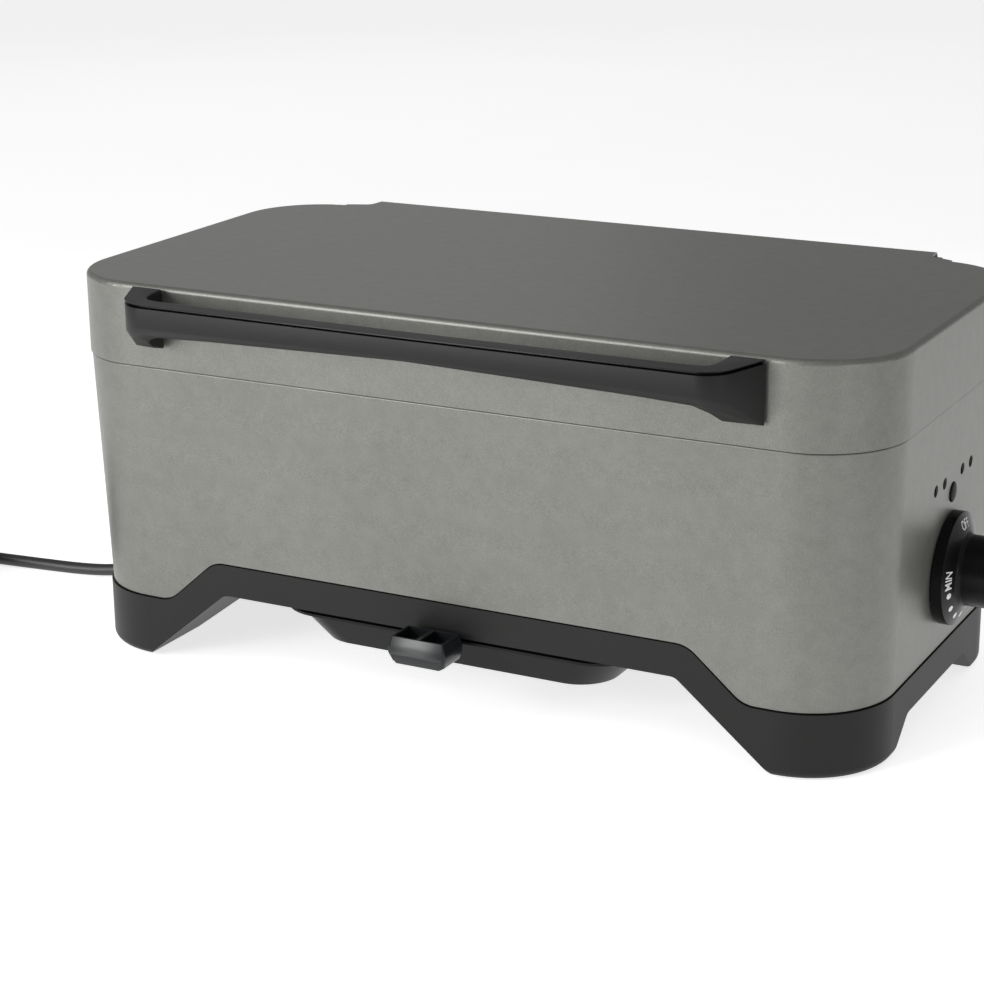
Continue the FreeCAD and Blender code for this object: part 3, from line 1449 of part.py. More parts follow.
def add_feature(name, shape):
    feature = doc.addObject("Part::Feature", name)
    feature.Label = name
    feature.Shape = shape
    feature.Placement = FreeCAD.Placement(Vector(number(shift_x), number(shift_y), 0), FreeCAD.Rotation())
    pieces.append(feature)
    return feature


def sleeve_direction():
    dip = math.radians(number(size.sleeve_dip))
    return Vector(-math.cos(dip), 0, -math.sin(dip))


def sleeve_root():
    outside = number(base_half_length + size.gland_collar)
    return Vector(-outside, number(size.gland_y), number(size.gland_height))


def sleeve_tip():
    return sleeve_root() + sleeve_direction() * number(size.sleeve_length)


def make_cord_gland():
    """Collar, neck and inner nut on the wall, and the tapered sleeve that dips to the table."""
    neck = number(size.base_wall + size.gland_collar)
    nut_start = number(lip_half(half_length) - size.lip_wall - size.gland_nut)
    axis = Vector(-1, 0, 0)
    middle = Vector(0, number(size.gland_y), number(size.gland_height))
    outside = number(base_half_length)
    root = sleeve_root()
    collar_start = middle - Vector(outside, 0, 0)
    inside_end = middle - Vector(nut_start, 0, 0)
    neck_length = outside - nut_start
    shape = Part.makeCylinder(number(size.gland_hole_radius), neck_length + neck / 2, inside_end, axis)
    collar = Part.makeCylinder(number(size.gland_radius), number(size.gland_collar), collar_start, axis)
    nut = Part.makeCylinder(number(size.gland_radius), number(size.gland_nut), inside_end, axis)
    ball = Part.makeSphere(number(size.sleeve_root_radius), root)
    cone = Part.makeCone(
        number(size.sleeve_root_radius),
        number(size.sleeve_tip_radius),
        number(size.sleeve_length),
        root,
        sleeve_direction(),
    )
    shape = shape.multiFuse([collar, nut, ball, cone]).removeSplitter()
    add_feature("cord_gland", shape.Solids[0])


def coil_layout():
    """Entry height, turn spacing and the list of half turns (radius, centre, start side, layer)."""
    spacing = number(size.cord_radius * 2 + size.coil_gap)
    step = spacing / 2
    radius = number(size.coil_radius)
    centre = Vector(number(size.coil_x), number(size.coil_entry_y) - radius, 0)
    low = number(size.coil_lift + size.cord_radius)
    return spacing, step, radius, centre, low


COIL_HALF_TURNS_IN = 4
COIL_HALF_TURNS_OUT = 5


def half_turn(centre, radius, side, low, high, parts):
    """A half turn from one side of the coil to the other in tangent arcs, level at both ends."""
    start_angle = math.pi / 2 if side > 0 else -math.pi / 2
    rise = (high - low) / math.pi
    edges = []

    def state(fraction):
        angle = start_angle + math.pi * fraction
        height = low + (high - low) * fraction
        point = Vector(centre.x + radius * math.cos(angle), centre.y + radius * math.sin(angle), height)
        climb = 2 * rise * (1 - abs(2 * fraction - 1))
        heading = Vector(-radius * math.sin(angle), radius * math.cos(angle), climb)
        return point, heading.normalize()

    for index in range(parts):
        first, first_heading = state(index / parts)
        last, last_heading = state((index + 1) / parts)
        edges += biarc(first, first_heading, last, last_heading)
    return edges


def biarc(first, first_heading, last, last_heading):
    """Two arcs that leave one point along a heading and reach another along its own."""
    chord = last - first
    together = first_heading + last_heading
    square = 2 * (1 - first_heading.dot(last_heading))
    along = chord.dot(together)
    reach = (-along + math.sqrt(along**2 + square * chord.dot(chord))) / square
    first_corner = first + first_heading * reach
    last_corner = last - last_heading * reach
    joint = (first_corner + last_corner) / 2
    heading = (last_corner - first_corner).normalize()
    return [arc_from(first, first_heading, joint), arc_from(joint, heading, last)]


def arc_from(start, heading, end):
    """The arc that leaves its start along a heading and ends at a point."""
    chord = end - start
    half_angle = heading.getAngle(chord) / 2
    sideways = (chord - heading * chord.dot(heading)).normalize()
    middle_heading = heading * math.cos(half_angle) + sideways * math.sin(half_angle)
    reach = chord.Length / 2 / math.cos(half_angle)
    return Part.Arc(start, start + middle_heading * reach, end).toShape()


def coil_edges():
    """The coil's path: in along the bottom layer, up one layer, and out along the top one."""
    spacing, step, radius, centre, low = coil_layout()
    high = low + spacing
    side = 1
    edges = []
    top_of_run = centre + Vector(0, radius, low)
    lead_in = number(size.cord_radius * 2)
    start = top_of_run + Vector(lead_in, 0, 0)
    edges.append(Part.LineSegment(start, top_of_run).toShape())
    radii = [radius - step * index for index in range(COIL_HALF_TURNS_IN)]
    for turn_radius in radii:
        edges += half_turn(centre, turn_radius, side, low, low, 1)
        side, centre = next_half_turn(side, centre, -step)
    climb_radius = radii[-1] - step
    edges += half_turn(centre, climb_radius, side, low, high, 2)
    side, centre = next_half_turn(side, centre, step)
    for index in range(COIL_HALF_TURNS_OUT):
        turn_radius = climb_radius + step * (index + 1)
        edges += half_turn(centre, turn_radius, side, high, high, 1)
        if index < COIL_HALF_TURNS_OUT - 1:
            side, centre = next_half_turn(side, centre, step)
    last = edges[-1].valueAt(edges[-1].LastParameter)
    edges.append(Part.LineSegment(last, last - Vector(lead_in, 0, 0)).toShape())
    return edges


def next_half_turn(side, centre, growth):
    """The side and centre of the half turn that follows, whose radius differs by the growth."""
    return -side, centre + Vector(0, side * growth, 0)


def least_self_gap(edges, radius):
    """The smallest gap between stretches of a tube that aren't neighbours along it."""
    wire = Part.Wire(edges)
    count = int(wire.Length / 2)
    points = wire.discretize(count)
    skip = int(4 * radius)
    least = min(
        first.distanceToPoint(second)
        for index, first in enumerate(points)
        for second in points[index + skip:]
    )
    return least - 2 * radius


def cord_route(first, entry):
    """The free stretch from the sleeve to the coil, down to the table and along it."""
    lying = number(size.cord_radius) + 0.1
    return [
        first,
        first + sleeve_direction() * 14,
        Vector(first.x - 29, first.y - 3, lying + 1.5),
        Vector(first.x - 54, first.y - 7.6, lying),
        Vector(first.x - 90, first.y - 11.9, lying),
        Vector(entry.x + 32, entry.y + 3.6, lying),
        Vector(entry.x + 14, entry.y, entry.z),
        entry,
    ]


def tail_route(start, plug_height):
    """The short stretch from the coil's outer turn round to the plug that lies beside it."""
    return [
        start,
        start + Vector(-12, 0, 0),
        start + Vector(-34, -5, 1),
        start + Vector(-54, -20, plug_height - start.z - 1),
        start + Vector(-65, -42, plug_height - start.z),
        start + Vector(-67, -58, plug_height - start.z),
    ]


def make_cord():
    radius = number(size.cord_radius)
    edges = coil_edges()
    coil_start = edges[0].valueAt(edges[0].FirstParameter)
    coil_end = edges[-1].valueAt(edges[-1].LastParameter)
    route, radii = rounded_path(cord_route(sleeve_tip(), coil_start))
    solid, free_length = tube(route, radius)
    add_feature("power_cord", solid)
    print("cord bends", [round(item, 1) for item in radii])
    solid, coil_length = tube(edges, radius)
    add_feature("cord_coil", solid)
    print("coil's least gap to itself", round(least_self_gap(edges, radius), 2))
    tail_points = tail_route(coil_end, number(size.plug_radius))
    tail, radii = rounded_path(tail_points)
    solid, tail_length = tube(tail, radius)
    add_feature("cord_tail", solid)
    print("tail bends", [round(item, 1) for item in radii])
    print("cord length", round(free_length + coil_length + tail_length, 1))
    make_coil_tie()
    heading = (tail_points[-1] - tail_points[-2]).normalize()
    make_plug(tail_points[-1], heading)


def make_coil_tie():
    """A flat band round all the coil's turns on its far side."""
    spacing, step, radius, centre, low = coil_layout()
    slack = number(size.tie_slack)
    wall = number(size.tie_sheet)
    width = number(size.tie_width)
    cord = number(size.cord_radius)
    climb_radius = radius - step * COIL_HALF_TURNS_IN
    inner = climb_radius - cord - slack - step
    outer = radius + cord + slack + step * 2
    bottom = low - cord - slack
    top = low + spacing + cord + slack
    start = Vector(centre.x - outer, centre.y - width / 2, bottom)
    room = Part.makeBox(outer - inner, width, top - bottom, start)
    margin = Vector(wall, 0, wall)
    case = Part.makeBox(outer - inner + 2 * wall, width, top - bottom + 2 * wall, start - margin)
    add_feature("coil_tie", case.cut(room).Solids[0])


def make_plug(entry, heading):
    """The moulded plug, turned about the cord's line, and its two round pins."""
    turned = FreeCAD.Rotation(Vector(0, 0, 1), heading)
    x = entry.x - number(size.coil_x)
    y = entry.y - number(size.coil_entry_y)
    place_x = size.coil_x + x
    place_y = size.coil_entry_y + y
    body = new_body("plug_body", place_x, place_y, size.plug_radius, turned)
    sketch = new_sketch(body, "XZ_Plane")
    face = size.plug_length
    neck = size.cord_radius * 1.4
    outline(
        sketch,
        [
            (0, 0),
            (neck, 0),
            (neck * 1.3, face * 0.42),
            (size.plug_radius * 0.86, face * 0.62, size.cord_radius),
            (size.plug_radius, face * 0.8, size.cord_radius),
            (size.plug_radius, face, size.cord_radius / 4),
            (0, face),
        ],
    )
    revolve(body, sketch, "V_Axis")
    pins = new_body("plug_pins", place_x, place_y, size.plug_radius, turned)
    half = size.plug_pin_pitch / 2
    cylinders(pins, "XY_Plane", [(-half, 0), (half, 0)], size.plug_pin_radius, face, size.plug_pin_length)


# Inner wiring


def block_middle():
    return -(base_half_length - size.block_from_end - size.block_length / 2)


def block_floor():
    return size.side_arch_height + size.base_wall


def make_terminal_block():
    body = new_body("terminal_block")
    sketch = new_sketch(body, "XY_Plane", block_floor())
    box_outline(sketch, block_middle(), size.gland_y, size.block_length / 2, size.block_width / 2,
                size.block_screw_radius)
    pad(body, sketch, size.block_height)
    round_holes(body, "XY_Plane", block_screw_places(), size.block_screw_radius, block_floor() + size.block_height,
                size.block_height / 3)


def block_screw_places():
    return [(block_middle(), size.gland_y + step * size.block_screw_pitch) for step in (-1, 0, 1)]


def make_block_screws():
    body = new_body("block_screws")
    depth = size.block_height / 3
    start = block_floor() + size.block_height - depth
    radius = size.block_screw_radius - size.running_fit
    cylinders(body, "XY_Plane", block_screw_places(), radius, start, depth * 0.7)


def make_leads():
    """Three insulated leads: supply to the regulator, regulator to heater, heater to supply."""
    radius = number(size.lead_radius)
    gap = 0.2
    block_x = number(block_middle() + size.block_length / 2)
    block_z = number(block_floor() + size.block_height / 2)
    block_y = number(size.gland_y)
    pitch = number(size.block_screw_pitch)
    deck = number(floor_top) + 2 * radius
    slope_top = -number(size.tunnel_half_length)
    regulator_back = number(regulator_face() - size.regulator_depth)
    dial_y = number(size.dial_y)
    dial_z = number(size.dial_height)
    pin_x = number(heater_end + size.terminal_length / 2)
    pin_y = number(size.heater_bend_radius * 3)
    pin_under = number(heater_height - size.terminal_radius) - gap
    rise = Vector(slope_top - 26, 0, deck - 15)
    crest = Vector(slope_top - 5, 0, deck + 2.5)

    def from_block(row, lane):
        start = Vector(block_x + gap, block_y + row * pitch, block_z)
        return [
            start,
            start + Vector(12, 0, 0.5),
            Vector(rise.x, (start.y + lane) / 2, rise.z),
            Vector(crest.x, lane, crest.z),
        ]

    live = from_block(0, -26) + [
        Vector(-120, -27, deck),
        Vector(-65, -26, deck),
        Vector(-5, -27, deck),
        Vector(55, -26, deck),
        Vector(110, -28, deck),
        Vector(155, -25, deck + 2),
        Vector(regulator_back - 38, -15, dial_z - 14),
        Vector(regulator_back - 12, dial_y - 8, dial_z - 5),
        Vector(regulator_back - gap, dial_y - 8, dial_z - 5),
    ]
    neutral = from_block(-1, -34) + [
        Vector(-120, -35, deck),
        Vector(-65, -34, deck),
        Vector(-5, -35, deck),
        Vector(55, -34, deck),
        Vector(110, -37, deck),
        Vector(150, -48, deck + 2),
        Vector(regulator_back - 38, -pin_y + 9, deck + 14),
        Vector(pin_x - 10, -pin_y + 2, deck + 40),
        Vector(pin_x, -pin_y, pin_under - 22),
        Vector(pin_x, -pin_y, pin_under),
    ]
    switched = [
        Vector(regulator_back - gap, dial_y + 10, dial_z + 6),
        Vector(regulator_back - 10, dial_y + 11, dial_z + 6.5),
        Vector(regulator_back - 14, dial_y + 34, dial_z + 10),
        Vector(pin_x - 7, pin_y - 12, dial_z + 22),
        Vector(pin_x, pin_y - 0.5, pin_under - 22),
        Vector(pin_x, pin_y, pin_under),
    ]
    for name, points in (("live_lead", live), ("neutral_lead", neutral), ("switched_lead", switched)):
        edges, radii = rounded_path(points)
        solid, length = tube(edges, radius)
        add_feature(name, solid)


def check_and_export():
    """Stops on a failed feature or an invalid solid, then writes one file for each piece."""
    doc.recompute()
    for item in doc.Objects:
        if "Invalid" in item.State or "Error" in item.State:
            raise RuntimeError(f"{item.Label} is in state {item.State}")
    os.makedirs("parts", exist_ok=True)
    for piece in pieces:
        shape = piece.Shape
        if shape.isNull() or not shape.isValid() or not shape.Solids:
            raise RuntimeError(f"{piece.Label} has no valid solid")
        shape.exportStep(os.path.join("parts", piece.Label + ".step"))
    print(len(pieces), "pieces written")


SIDES = (("left", -1), ("right", 1))

make_lid_shell()
make_lid_handle()
make_handle_screws()
make_body_shell()
make_lid_buffers()
for side_name, side in SIDES:
    make_hinge_leaf(side_name, side)
    make_hinge_bracket(side_name, side)
make_hinge_pins()
make_bracket_screws()
make_base_frame()
make_foot_pads()
make_inner_pan()
make_rim_screws()
make_heating_element()
make_heater_supports()
make_heater_bushes()
make_heater_terminals()
make_grill_plate()
make_drain_spout()
make_heat_shield()
make_pan_studs()
make_stud_spacers()
make_stud_nuts()
make_control_dial()
make_regulator_shaft()
make_regulator()
make_regulator_screws()
make_pilot_lens()
make_lamp_holder()
make_drip_tray()
make_tray_grip()
make_grip_screws()
for side_name, side in SIDES:
    make_tray_rail(side_name, side)
make_rail_screws()
make_cord_gland()
make_cord()
make_terminal_block()
make_block_screws()
make_leads()
check_and_export()
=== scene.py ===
"""A table-top electric grill with a hinged lid, a drip drawer and a dial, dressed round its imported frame.

Places are in millimetres from the middle of the lid's outline on the table, with X towards the dial and
Z up, and at() turns them into the frame's metres.
"""

import json
import math

import bmesh
import bpy
from mathutils import Matrix, Vector


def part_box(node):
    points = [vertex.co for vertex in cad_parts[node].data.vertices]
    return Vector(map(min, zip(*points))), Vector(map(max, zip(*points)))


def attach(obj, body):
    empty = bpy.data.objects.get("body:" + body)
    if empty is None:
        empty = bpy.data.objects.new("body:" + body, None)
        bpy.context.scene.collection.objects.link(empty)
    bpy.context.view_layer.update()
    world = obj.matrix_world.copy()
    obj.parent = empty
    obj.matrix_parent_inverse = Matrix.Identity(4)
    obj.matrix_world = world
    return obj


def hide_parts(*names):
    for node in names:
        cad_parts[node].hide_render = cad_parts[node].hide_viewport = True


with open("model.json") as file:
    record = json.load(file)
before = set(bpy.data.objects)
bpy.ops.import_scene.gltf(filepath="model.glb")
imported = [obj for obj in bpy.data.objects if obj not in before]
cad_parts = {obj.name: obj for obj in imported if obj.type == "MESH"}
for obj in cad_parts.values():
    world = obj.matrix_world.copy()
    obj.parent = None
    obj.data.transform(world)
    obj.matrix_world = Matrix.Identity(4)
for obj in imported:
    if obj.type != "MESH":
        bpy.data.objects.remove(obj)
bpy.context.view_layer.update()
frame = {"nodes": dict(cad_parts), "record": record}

MM = 0.001
LID_HALF_WIDTH = 133.6
lid_low, lid_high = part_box("lid_shell")
home = Vector(((lid_low.x + lid_high.x) / 2, lid_low.y + LID_HALF_WIDTH * MM, 0))


def at(x, y, z):
    """A place in the frame's metres."""
    return home + Vector((x, y, z)) * MM


def box_in_mm(node):
    """A node's lowest and highest corner from the middle of the lid's outline."""
    low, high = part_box(node)
    return (low - home) / MM, (high - home) / MM


# Camera, light and floor, in metres

CAMERA_PLACE = Vector((0.62049, -1.26394, 0.54737))
CAMERA_TURN = math.radians(27.764)
CAMERA_DIP = math.radians(17.549)
CAMERA_ROLL = math.radians(-0.497)
CAMERA_LENS = 88.5
CAMERA_NEAREST = 0.05
WORLD_STRENGTH = 0.35
LIT_POINT = Vector((0, 0, 0.12))
FLOOR_SIZE = 24
GLOW_START = 0.5
GLOW_FALL = 1.2
NEAR_GLOW = 0.72
FAR_GLOW = 0.54


def make_camera():
    camera = bpy.data.objects.new("camera", bpy.data.cameras.new("camera"))
    bpy.context.scene.collection.objects.link(camera)
    camera.data.lens = CAMERA_LENS
    camera.data.clip_start = CAMERA_NEAREST
    turn = Matrix.Rotation(CAMERA_TURN, 4, "Z")
    dip = Matrix.Rotation(math.pi / 2 - CAMERA_DIP, 4, "X")
    roll = Matrix.Rotation(CAMERA_ROLL, 4, "Z")
    camera.matrix_world = Matrix.Translation(CAMERA_PLACE) @ turn @ dip @ roll
    bpy.context.scene.camera = camera


def softbox(name, place, width, height, power):
    """A rectangular light that faces the grill, with its power in watts."""
    light = bpy.data.lights.new(name, "AREA")
    light.shape = "RECTANGLE"
    light.size = width
    light.size_y = height
    light.energy = power
    lamp = bpy.data.objects.new(name, light)
    bpy.context.scene.collection.objects.link(lamp)
    way = LIT_POINT - Vector(place)
    lamp.matrix_world = Matrix.Translation(place) @ way.to_track_quat("-Z", "Y").to_matrix().to_4x4()


def make_studio():
    bpy.context.scene.view_settings.view_transform = "Standard"
    world = bpy.data.worlds.new("studio")
    world.use_nodes = True
    background = world.node_tree.nodes["Background"]
    background.inputs["Color"].default_value = (1, 1, 1, 1)
    background.inputs["Strength"].default_value = WORLD_STRENGTH
    bpy.context.scene.world = world
    softbox("front_light", (-1.37, -2.57, 0.83), width=0.9, height=1.2, power=43)
    softbox("left_light", (-1.84, -1.84, 1.6), width=1.2, height=1.0, power=11)
    softbox("right_light", (2.64, -1.41, 0.31), width=0.9, height=0.8, power=5)
    softbox("top_light", (-0.4, -1.6, 2.3), width=1.4, height=1.0, power=5)
    softbox("back_light", (-1.6, 2.28, 1.22), width=1.2, height=1.0, power=1.2)


def make_floor():
    """A pale table lit from below, brightest near the grill, as on a lit photographer's table."""
    bpy.ops.object.select_all(action="DESELECT")
    bpy.ops.mesh.primitive_plane_add(size=FLOOR_SIZE, location=(0, 0, 0))
    floor = bpy.context.object
    floor.name = "floor"
    paper = Finish("floor_paper", Roughness=0.85, Emission_Strength=1.0)
    mottle = paper.noise(6, detail=3.0)
    length = {"operation": "LENGTH"}
    distance = paper.add("ShaderNodeVectorMath", length, {0: paper.place}, output="Value")
    fall = (distance * GLOW_FALL - GLOW_START * GLOW_FALL).clamped()
    paper.set(
        Base_Color=paper.blend(mottle, grey(0.86), grey(0.9)),
        Emission_Color=paper.blend(fall, grey(NEAR_GLOW), grey(FAR_GLOW)),
    )
    floor.data.materials.append(paper.material)


# Finishes

PATCH_CONTRAST = 0.9
GRAIN_CONTRAST = 0.7
GRAIN_DEPTH = 0.1


class Field:
    """A number or colour that changes over a surface; arithmetic on it adds Math nodes."""

    def __init__(self, finish, socket):
        self.finish = finish
        self.socket = socket

    def math(self, operation, first, second):
        return self.finish.add("ShaderNodeMath", {"operation": operation}, {0: first, 1: second})

    def __add__(self, other):
        return self.math("ADD", self, other)

    def __radd__(self, other):
        return self.math("ADD", other, self)

    def __sub__(self, other):
        return self.math("SUBTRACT", self, other)

    def __rsub__(self, other):
        return self.math("SUBTRACT", other, self)

    def __mul__(self, other):
        return self.math("MULTIPLY", self, other)

    def __rmul__(self, other):
        return self.math("MULTIPLY", other, self)

    def clamped(self):
        return self.math("MINIMUM", self.math("MAXIMUM", self, 0.0), 1.0)

    def swing(self):
        """How far a noise stands above or below its middle."""
        return self - 0.5


class Finish:
    """A material whose constant values sit on the shader's own sockets."""

    def __init__(self, name, **constants):
        self.material = bpy.data.materials.new(name)
        self.material.use_nodes = True
        self.tree = self.material.node_tree
        self.shader = self.tree.nodes["Principled BSDF"]
        self.set(**constants)
        self.place = self.add("ShaderNodeTexCoord", output="Object")

    def add(self, kind, settings=None, inputs=None, output=0):
        """A node with its settings and with values or links on its sockets."""
        node = self.tree.nodes.new(kind)
        for key, value in (settings or {}).items():
            setattr(node, key, value)
        for key, value in (inputs or {}).items():
            self.feed(node.inputs[key], value)
        return Field(self, node.outputs[output])

    def feed(self, socket, value):
        if isinstance(value, Field):
            self.tree.links.new(value.socket, socket)
        else:
            socket.default_value = value

    def set(self, **fields):
        """Feeds the shader's sockets, written with _ for the spaces in their names."""
        for socket, value in fields.items():
            self.feed(self.shader.inputs[socket.replace("_", " ")], value)
        return self

    def noise(self, scale, detail=2.0, roughness=0.5, place=None):
        inputs = {"Vector": place or self.place, "Scale": scale, "Detail": detail, "Roughness": roughness}
        return self.add("ShaderNodeTexNoise", inputs=inputs)

    def stretched(self, stretch):
        """The surface's places, drawn out for a noise of streaks."""
        return self.add("ShaderNodeMapping", inputs={"Vector": self.place, "Scale": stretch})

    def blend(self, share, first, second):
        """A colour between two others."""
        return self.add("ShaderNodeMix", {"data_type": "RGBA"}, {0: share, 6: first, 7: second}, output=2)

    def bump(self, height, strength, depth):
        inputs = {"Height": height, "Strength": strength, "Distance": depth * MM}
        return self.add("ShaderNodeBump", inputs=inputs)


def rgb(red, green, blue):
    return (red, green, blue, 1.0)


def grey(level):
    return rgb(level, level, level)


def speckled(name, dark, light, grain, rough, play, relief, patch=9.0, **constants):
    """A surface whose colour, gloss and height change with a fine grain and with wide, faint patches."""
    finish = Finish(name, **constants)
    fine = finish.noise(grain, detail=3.0)
    wide = finish.noise(patch, detail=3.0)
    share = (0.5 + wide.swing() * PATCH_CONTRAST + fine.swing() * GRAIN_CONTRAST).clamped()
    return finish.set(
        Base_Color=finish.blend(share, dark, light),
        Roughness=(rough + wide.swing() * play + fine.swing() * play).clamped(),
        Normal=finish.bump(fine, relief, GRAIN_DEPTH),
    )


def satin_paint():
    """Metallic paint: a fine sparkle and cloudy mottle in a warm mid grey, with slight orange peel."""
    finish = Finish("grey_paint", Metallic=0.55, Coat_Weight=0.08, Coat_Roughness=0.3)
    flake = finish.noise(1500, detail=2.0)
    peel = finish.noise(420, detail=3.0)
    wide = finish.noise(7, detail=3.0)
    mottle = finish.noise(110, detail=5.0, roughness=0.65)
    share = (0.5 + flake.swing() * 1.5 + wide.swing() * 0.6 + mottle.swing() * 0.75).clamped()
    return finish.set(
        Base_Color=finish.blend(share, rgb(0.134, 0.136, 0.123), rgb(0.222, 0.224, 0.206)),
        Roughness=(0.4 + flake.swing() * 0.16 + wide.swing() * 0.08).clamped(),
        Normal=finish.bump(peel * 0.6 + flake * 0.4, 0.16, 0.15),
    )


def brushed(name, dark, light, stretch, rough, **constants):
    """Rolled or drawn metal: streaks along one way over faint patches."""
    finish = Finish(name, **constants)
    streak = finish.noise(1.0, detail=4.0, place=finish.stretched(stretch))
    patch = finish.noise(22, detail=4.0)
    share = (0.5 + streak.swing() * 0.9 + patch.swing() * 0.6).clamped()
    return finish.set(
        Base_Color=finish.blend(share, dark, light),
        Roughness=(rough + streak.swing() * 0.14 + patch.swing() * 0.18).clamped(),
        Normal=finish.bump(streak, 0.12, 0.05),
    )


grey_paint = satin_paint()
black_plastic = speckled(
    "black_plastic", rgb(0.01, 0.01, 0.0098), rgb(0.016, 0.016, 0.0155),
    grain=1300, rough=0.46, play=0.1, relief=0.22, Specular_IOR_Level=0.22,
)
shiny_plastic = speckled(
    "shiny_plastic", rgb(0.008, 0.0092, 0.01), rgb(0.014, 0.016, 0.0175),
    grain=900, rough=0.24, play=0.06, relief=0.05, Specular_IOR_Level=0.32,
)
dial_plastic = speckled(
    "dial_plastic", grey(0.004), grey(0.007),
    grain=1100, rough=0.28, play=0.08, relief=0.06, Specular_IOR_Level=0.15,
)
dark_plastic = speckled(
    "dark_plastic", rgb(0.02, 0.02, 0.021), rgb(0.034, 0.034, 0.035),
    grain=900, rough=0.48, play=0.1, relief=0.15,
)
black_enamel = speckled(
    "black_enamel", grey(0.006), grey(0.01),
    grain=700, rough=0.34, play=0.1, relief=0.1, Specular_IOR_Level=0.16,
)
black_paint = speckled(
    "black_paint", grey(0.012), grey(0.024),
    grain=1000, rough=0.42, play=0.1, relief=0.2,
)
black_rubber = speckled(
    "black_rubber", grey(0.02), rgb(0.034, 0.033, 0.032),
    grain=800, rough=0.72, play=0.12, relief=0.25,
)
cord_sheath = speckled(
    "cord_sheath", grey(0.016), grey(0.03),
    grain=1200, rough=0.42, play=0.1, relief=0.1, patch=40,
)
plate_coating = speckled(
    "plate_coating", rgb(0.02, 0.02, 0.021), rgb(0.075, 0.075, 0.078),
    grain=1700, rough=0.45, play=0.14, relief=0.4, Metallic=0.3,
)
white_ceramic = speckled(
    "white_ceramic", rgb(0.72, 0.69, 0.62), rgb(0.86, 0.84, 0.79),
    grain=600, rough=0.55, play=0.1, relief=0.15,
)
print_white = speckled(
    "print_white", rgb(0.7, 0.7, 0.69), rgb(0.85, 0.85, 0.84),
    grain=900, rough=0.5, play=0.05, relief=0.02,
)
dark_lens = speckled(
    "dark_lens", rgb(0.004, 0.0015, 0.001), rgb(0.007, 0.002, 0.0015),
    grain=300, rough=0.4, play=0.06, relief=0.03, Specular_IOR_Level=0.05,
)
brown_sheath = speckled(
    "brown_sheath", rgb(0.13, 0.05, 0.025), rgb(0.2, 0.08, 0.04),
    grain=900, rough=0.42, play=0.08, relief=0.08,
)
black_sheath = speckled(
    "black_sheath", grey(0.018), grey(0.03),
    grain=900, rough=0.42, play=0.08, relief=0.08,
)
blue_sheath = speckled(
    "blue_sheath", rgb(0.025, 0.08, 0.26), rgb(0.04, 0.12, 0.36),
    grain=900, rough=0.42, play=0.08, relief=0.08,
)
pan_steel = brushed(
    "pan_steel", rgb(0.42, 0.42, 0.41), rgb(0.62, 0.62, 0.6),
    stretch=(6, 900, 900), rough=0.34, Metallic=0.95,
)
screw_steel = brushed(
    "screw_steel", rgb(0.5, 0.5, 0.49), rgb(0.7, 0.7, 0.69),
    stretch=(500, 500, 40), rough=0.26, Metallic=1.0,
)
heater_steel = brushed(
    "heater_steel", rgb(0.09, 0.08, 0.075), rgb(0.24, 0.21, 0.19),
    stretch=(60, 700, 700), rough=0.5, Metallic=0.8,
)
nickel_pin = brushed(
    "nickel_pin", rgb(0.55, 0.53, 0.49), rgb(0.74, 0.72, 0.68),
    stretch=(400, 400, 60), rough=0.2, Metallic=1.0,
)

FINISH_OF_SLOT = {
    "grey_metal": grey_paint,
    "black_plastic": black_plastic,
    "black_plastic_gloss": shiny_plastic,
    "dial_plastic": dial_plastic,
    "dark_plastic": dark_plastic,
    "black_metal": black_paint,
    "rubber": black_rubber,
    "cord_jacket": cord_sheath,
    "pan_steel": pan_steel,
    "tray_enamel": black_enamel,
    "heater_steel": heater_steel,
    "screw_steel": screw_steel,
    "ceramic": white_ceramic,
    "plate_coat": plate_coating,
    "lens_plastic": dark_lens,
    "brass_nickel": nickel_pin,
    "lead_brown": brown_sheath,
    "lead_black": black_sheath,
    "lead_blue": blue_sheath,
}
slot_of_node = {row["node"]: row["material_slot"] for row in frame["record"]["subparts"]}


def paint_nodes():
    for name, node in frame["nodes"].items():
        for slot in node.material_slots:
            slot.material = FINISH_OF_SLOT[slot_of_node[name]].material


def dress(piece, body, node, finish=None):
    """The piece rides on a body in the finish of the node's slot, or in another one."""
    slot = slot_of_node[node]
    if not piece.data.materials:
        piece.data.materials.append(None)
    piece.data.materials[0] = (finish or FINISH_OF_SLOT[slot]).material
    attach(piece, body)


# Mains cord: straight out of its sleeve, along the table, into a coil of two layers and on to the plug

CORD_RADIUS = 4.0
TABLE_GAP = 0.1
SLEEVE_ROOT = Vector((-258.8, -18, 30.6))
SLEEVE_LENGTH = 25
SLEEVE_DIP = math.radians(31)
COIL_RADIUS = 54.6
COIL_PITCH = 2 * CORD_RADIUS + 0.5
COIL_X = -446
COIL_ENTRY = Vector((-438, -37.5, 5))
HALF_TURNS_IN = 4
HALF_TURNS_OUT = 5
POINTS_PER_HALF_TURN = 8
PLUG_RADIUS = 18.5
sleeve_way = Vector((-math.cos(SLEEVE_DIP), 0, -math.sin(SLEEVE_DIP)))
sleeve_tip = SLEEVE_ROOT + sleeve_way * SLEEVE_LENGTH


def run_to_coil():
    lying = CORD_RADIUS + TABLE_GAP
    tip = sleeve_tip
    return [
        tip,
        tip + sleeve_way * 14,
        Vector((tip.x - 29, tip.y - 3, lying + 1.5)),
        Vector((tip.x - 54, tip.y - 7.6, lying)),
        Vector((tip.x - 90, tip.y - 11.9, lying)),
        Vector((COIL_ENTRY.x + 32, COIL_ENTRY.y + 3.6, lying)),
        Vector((COIL_ENTRY.x + 14, COIL_ENTRY.y, COIL_ENTRY.z)),
        COIL_ENTRY,
    ]


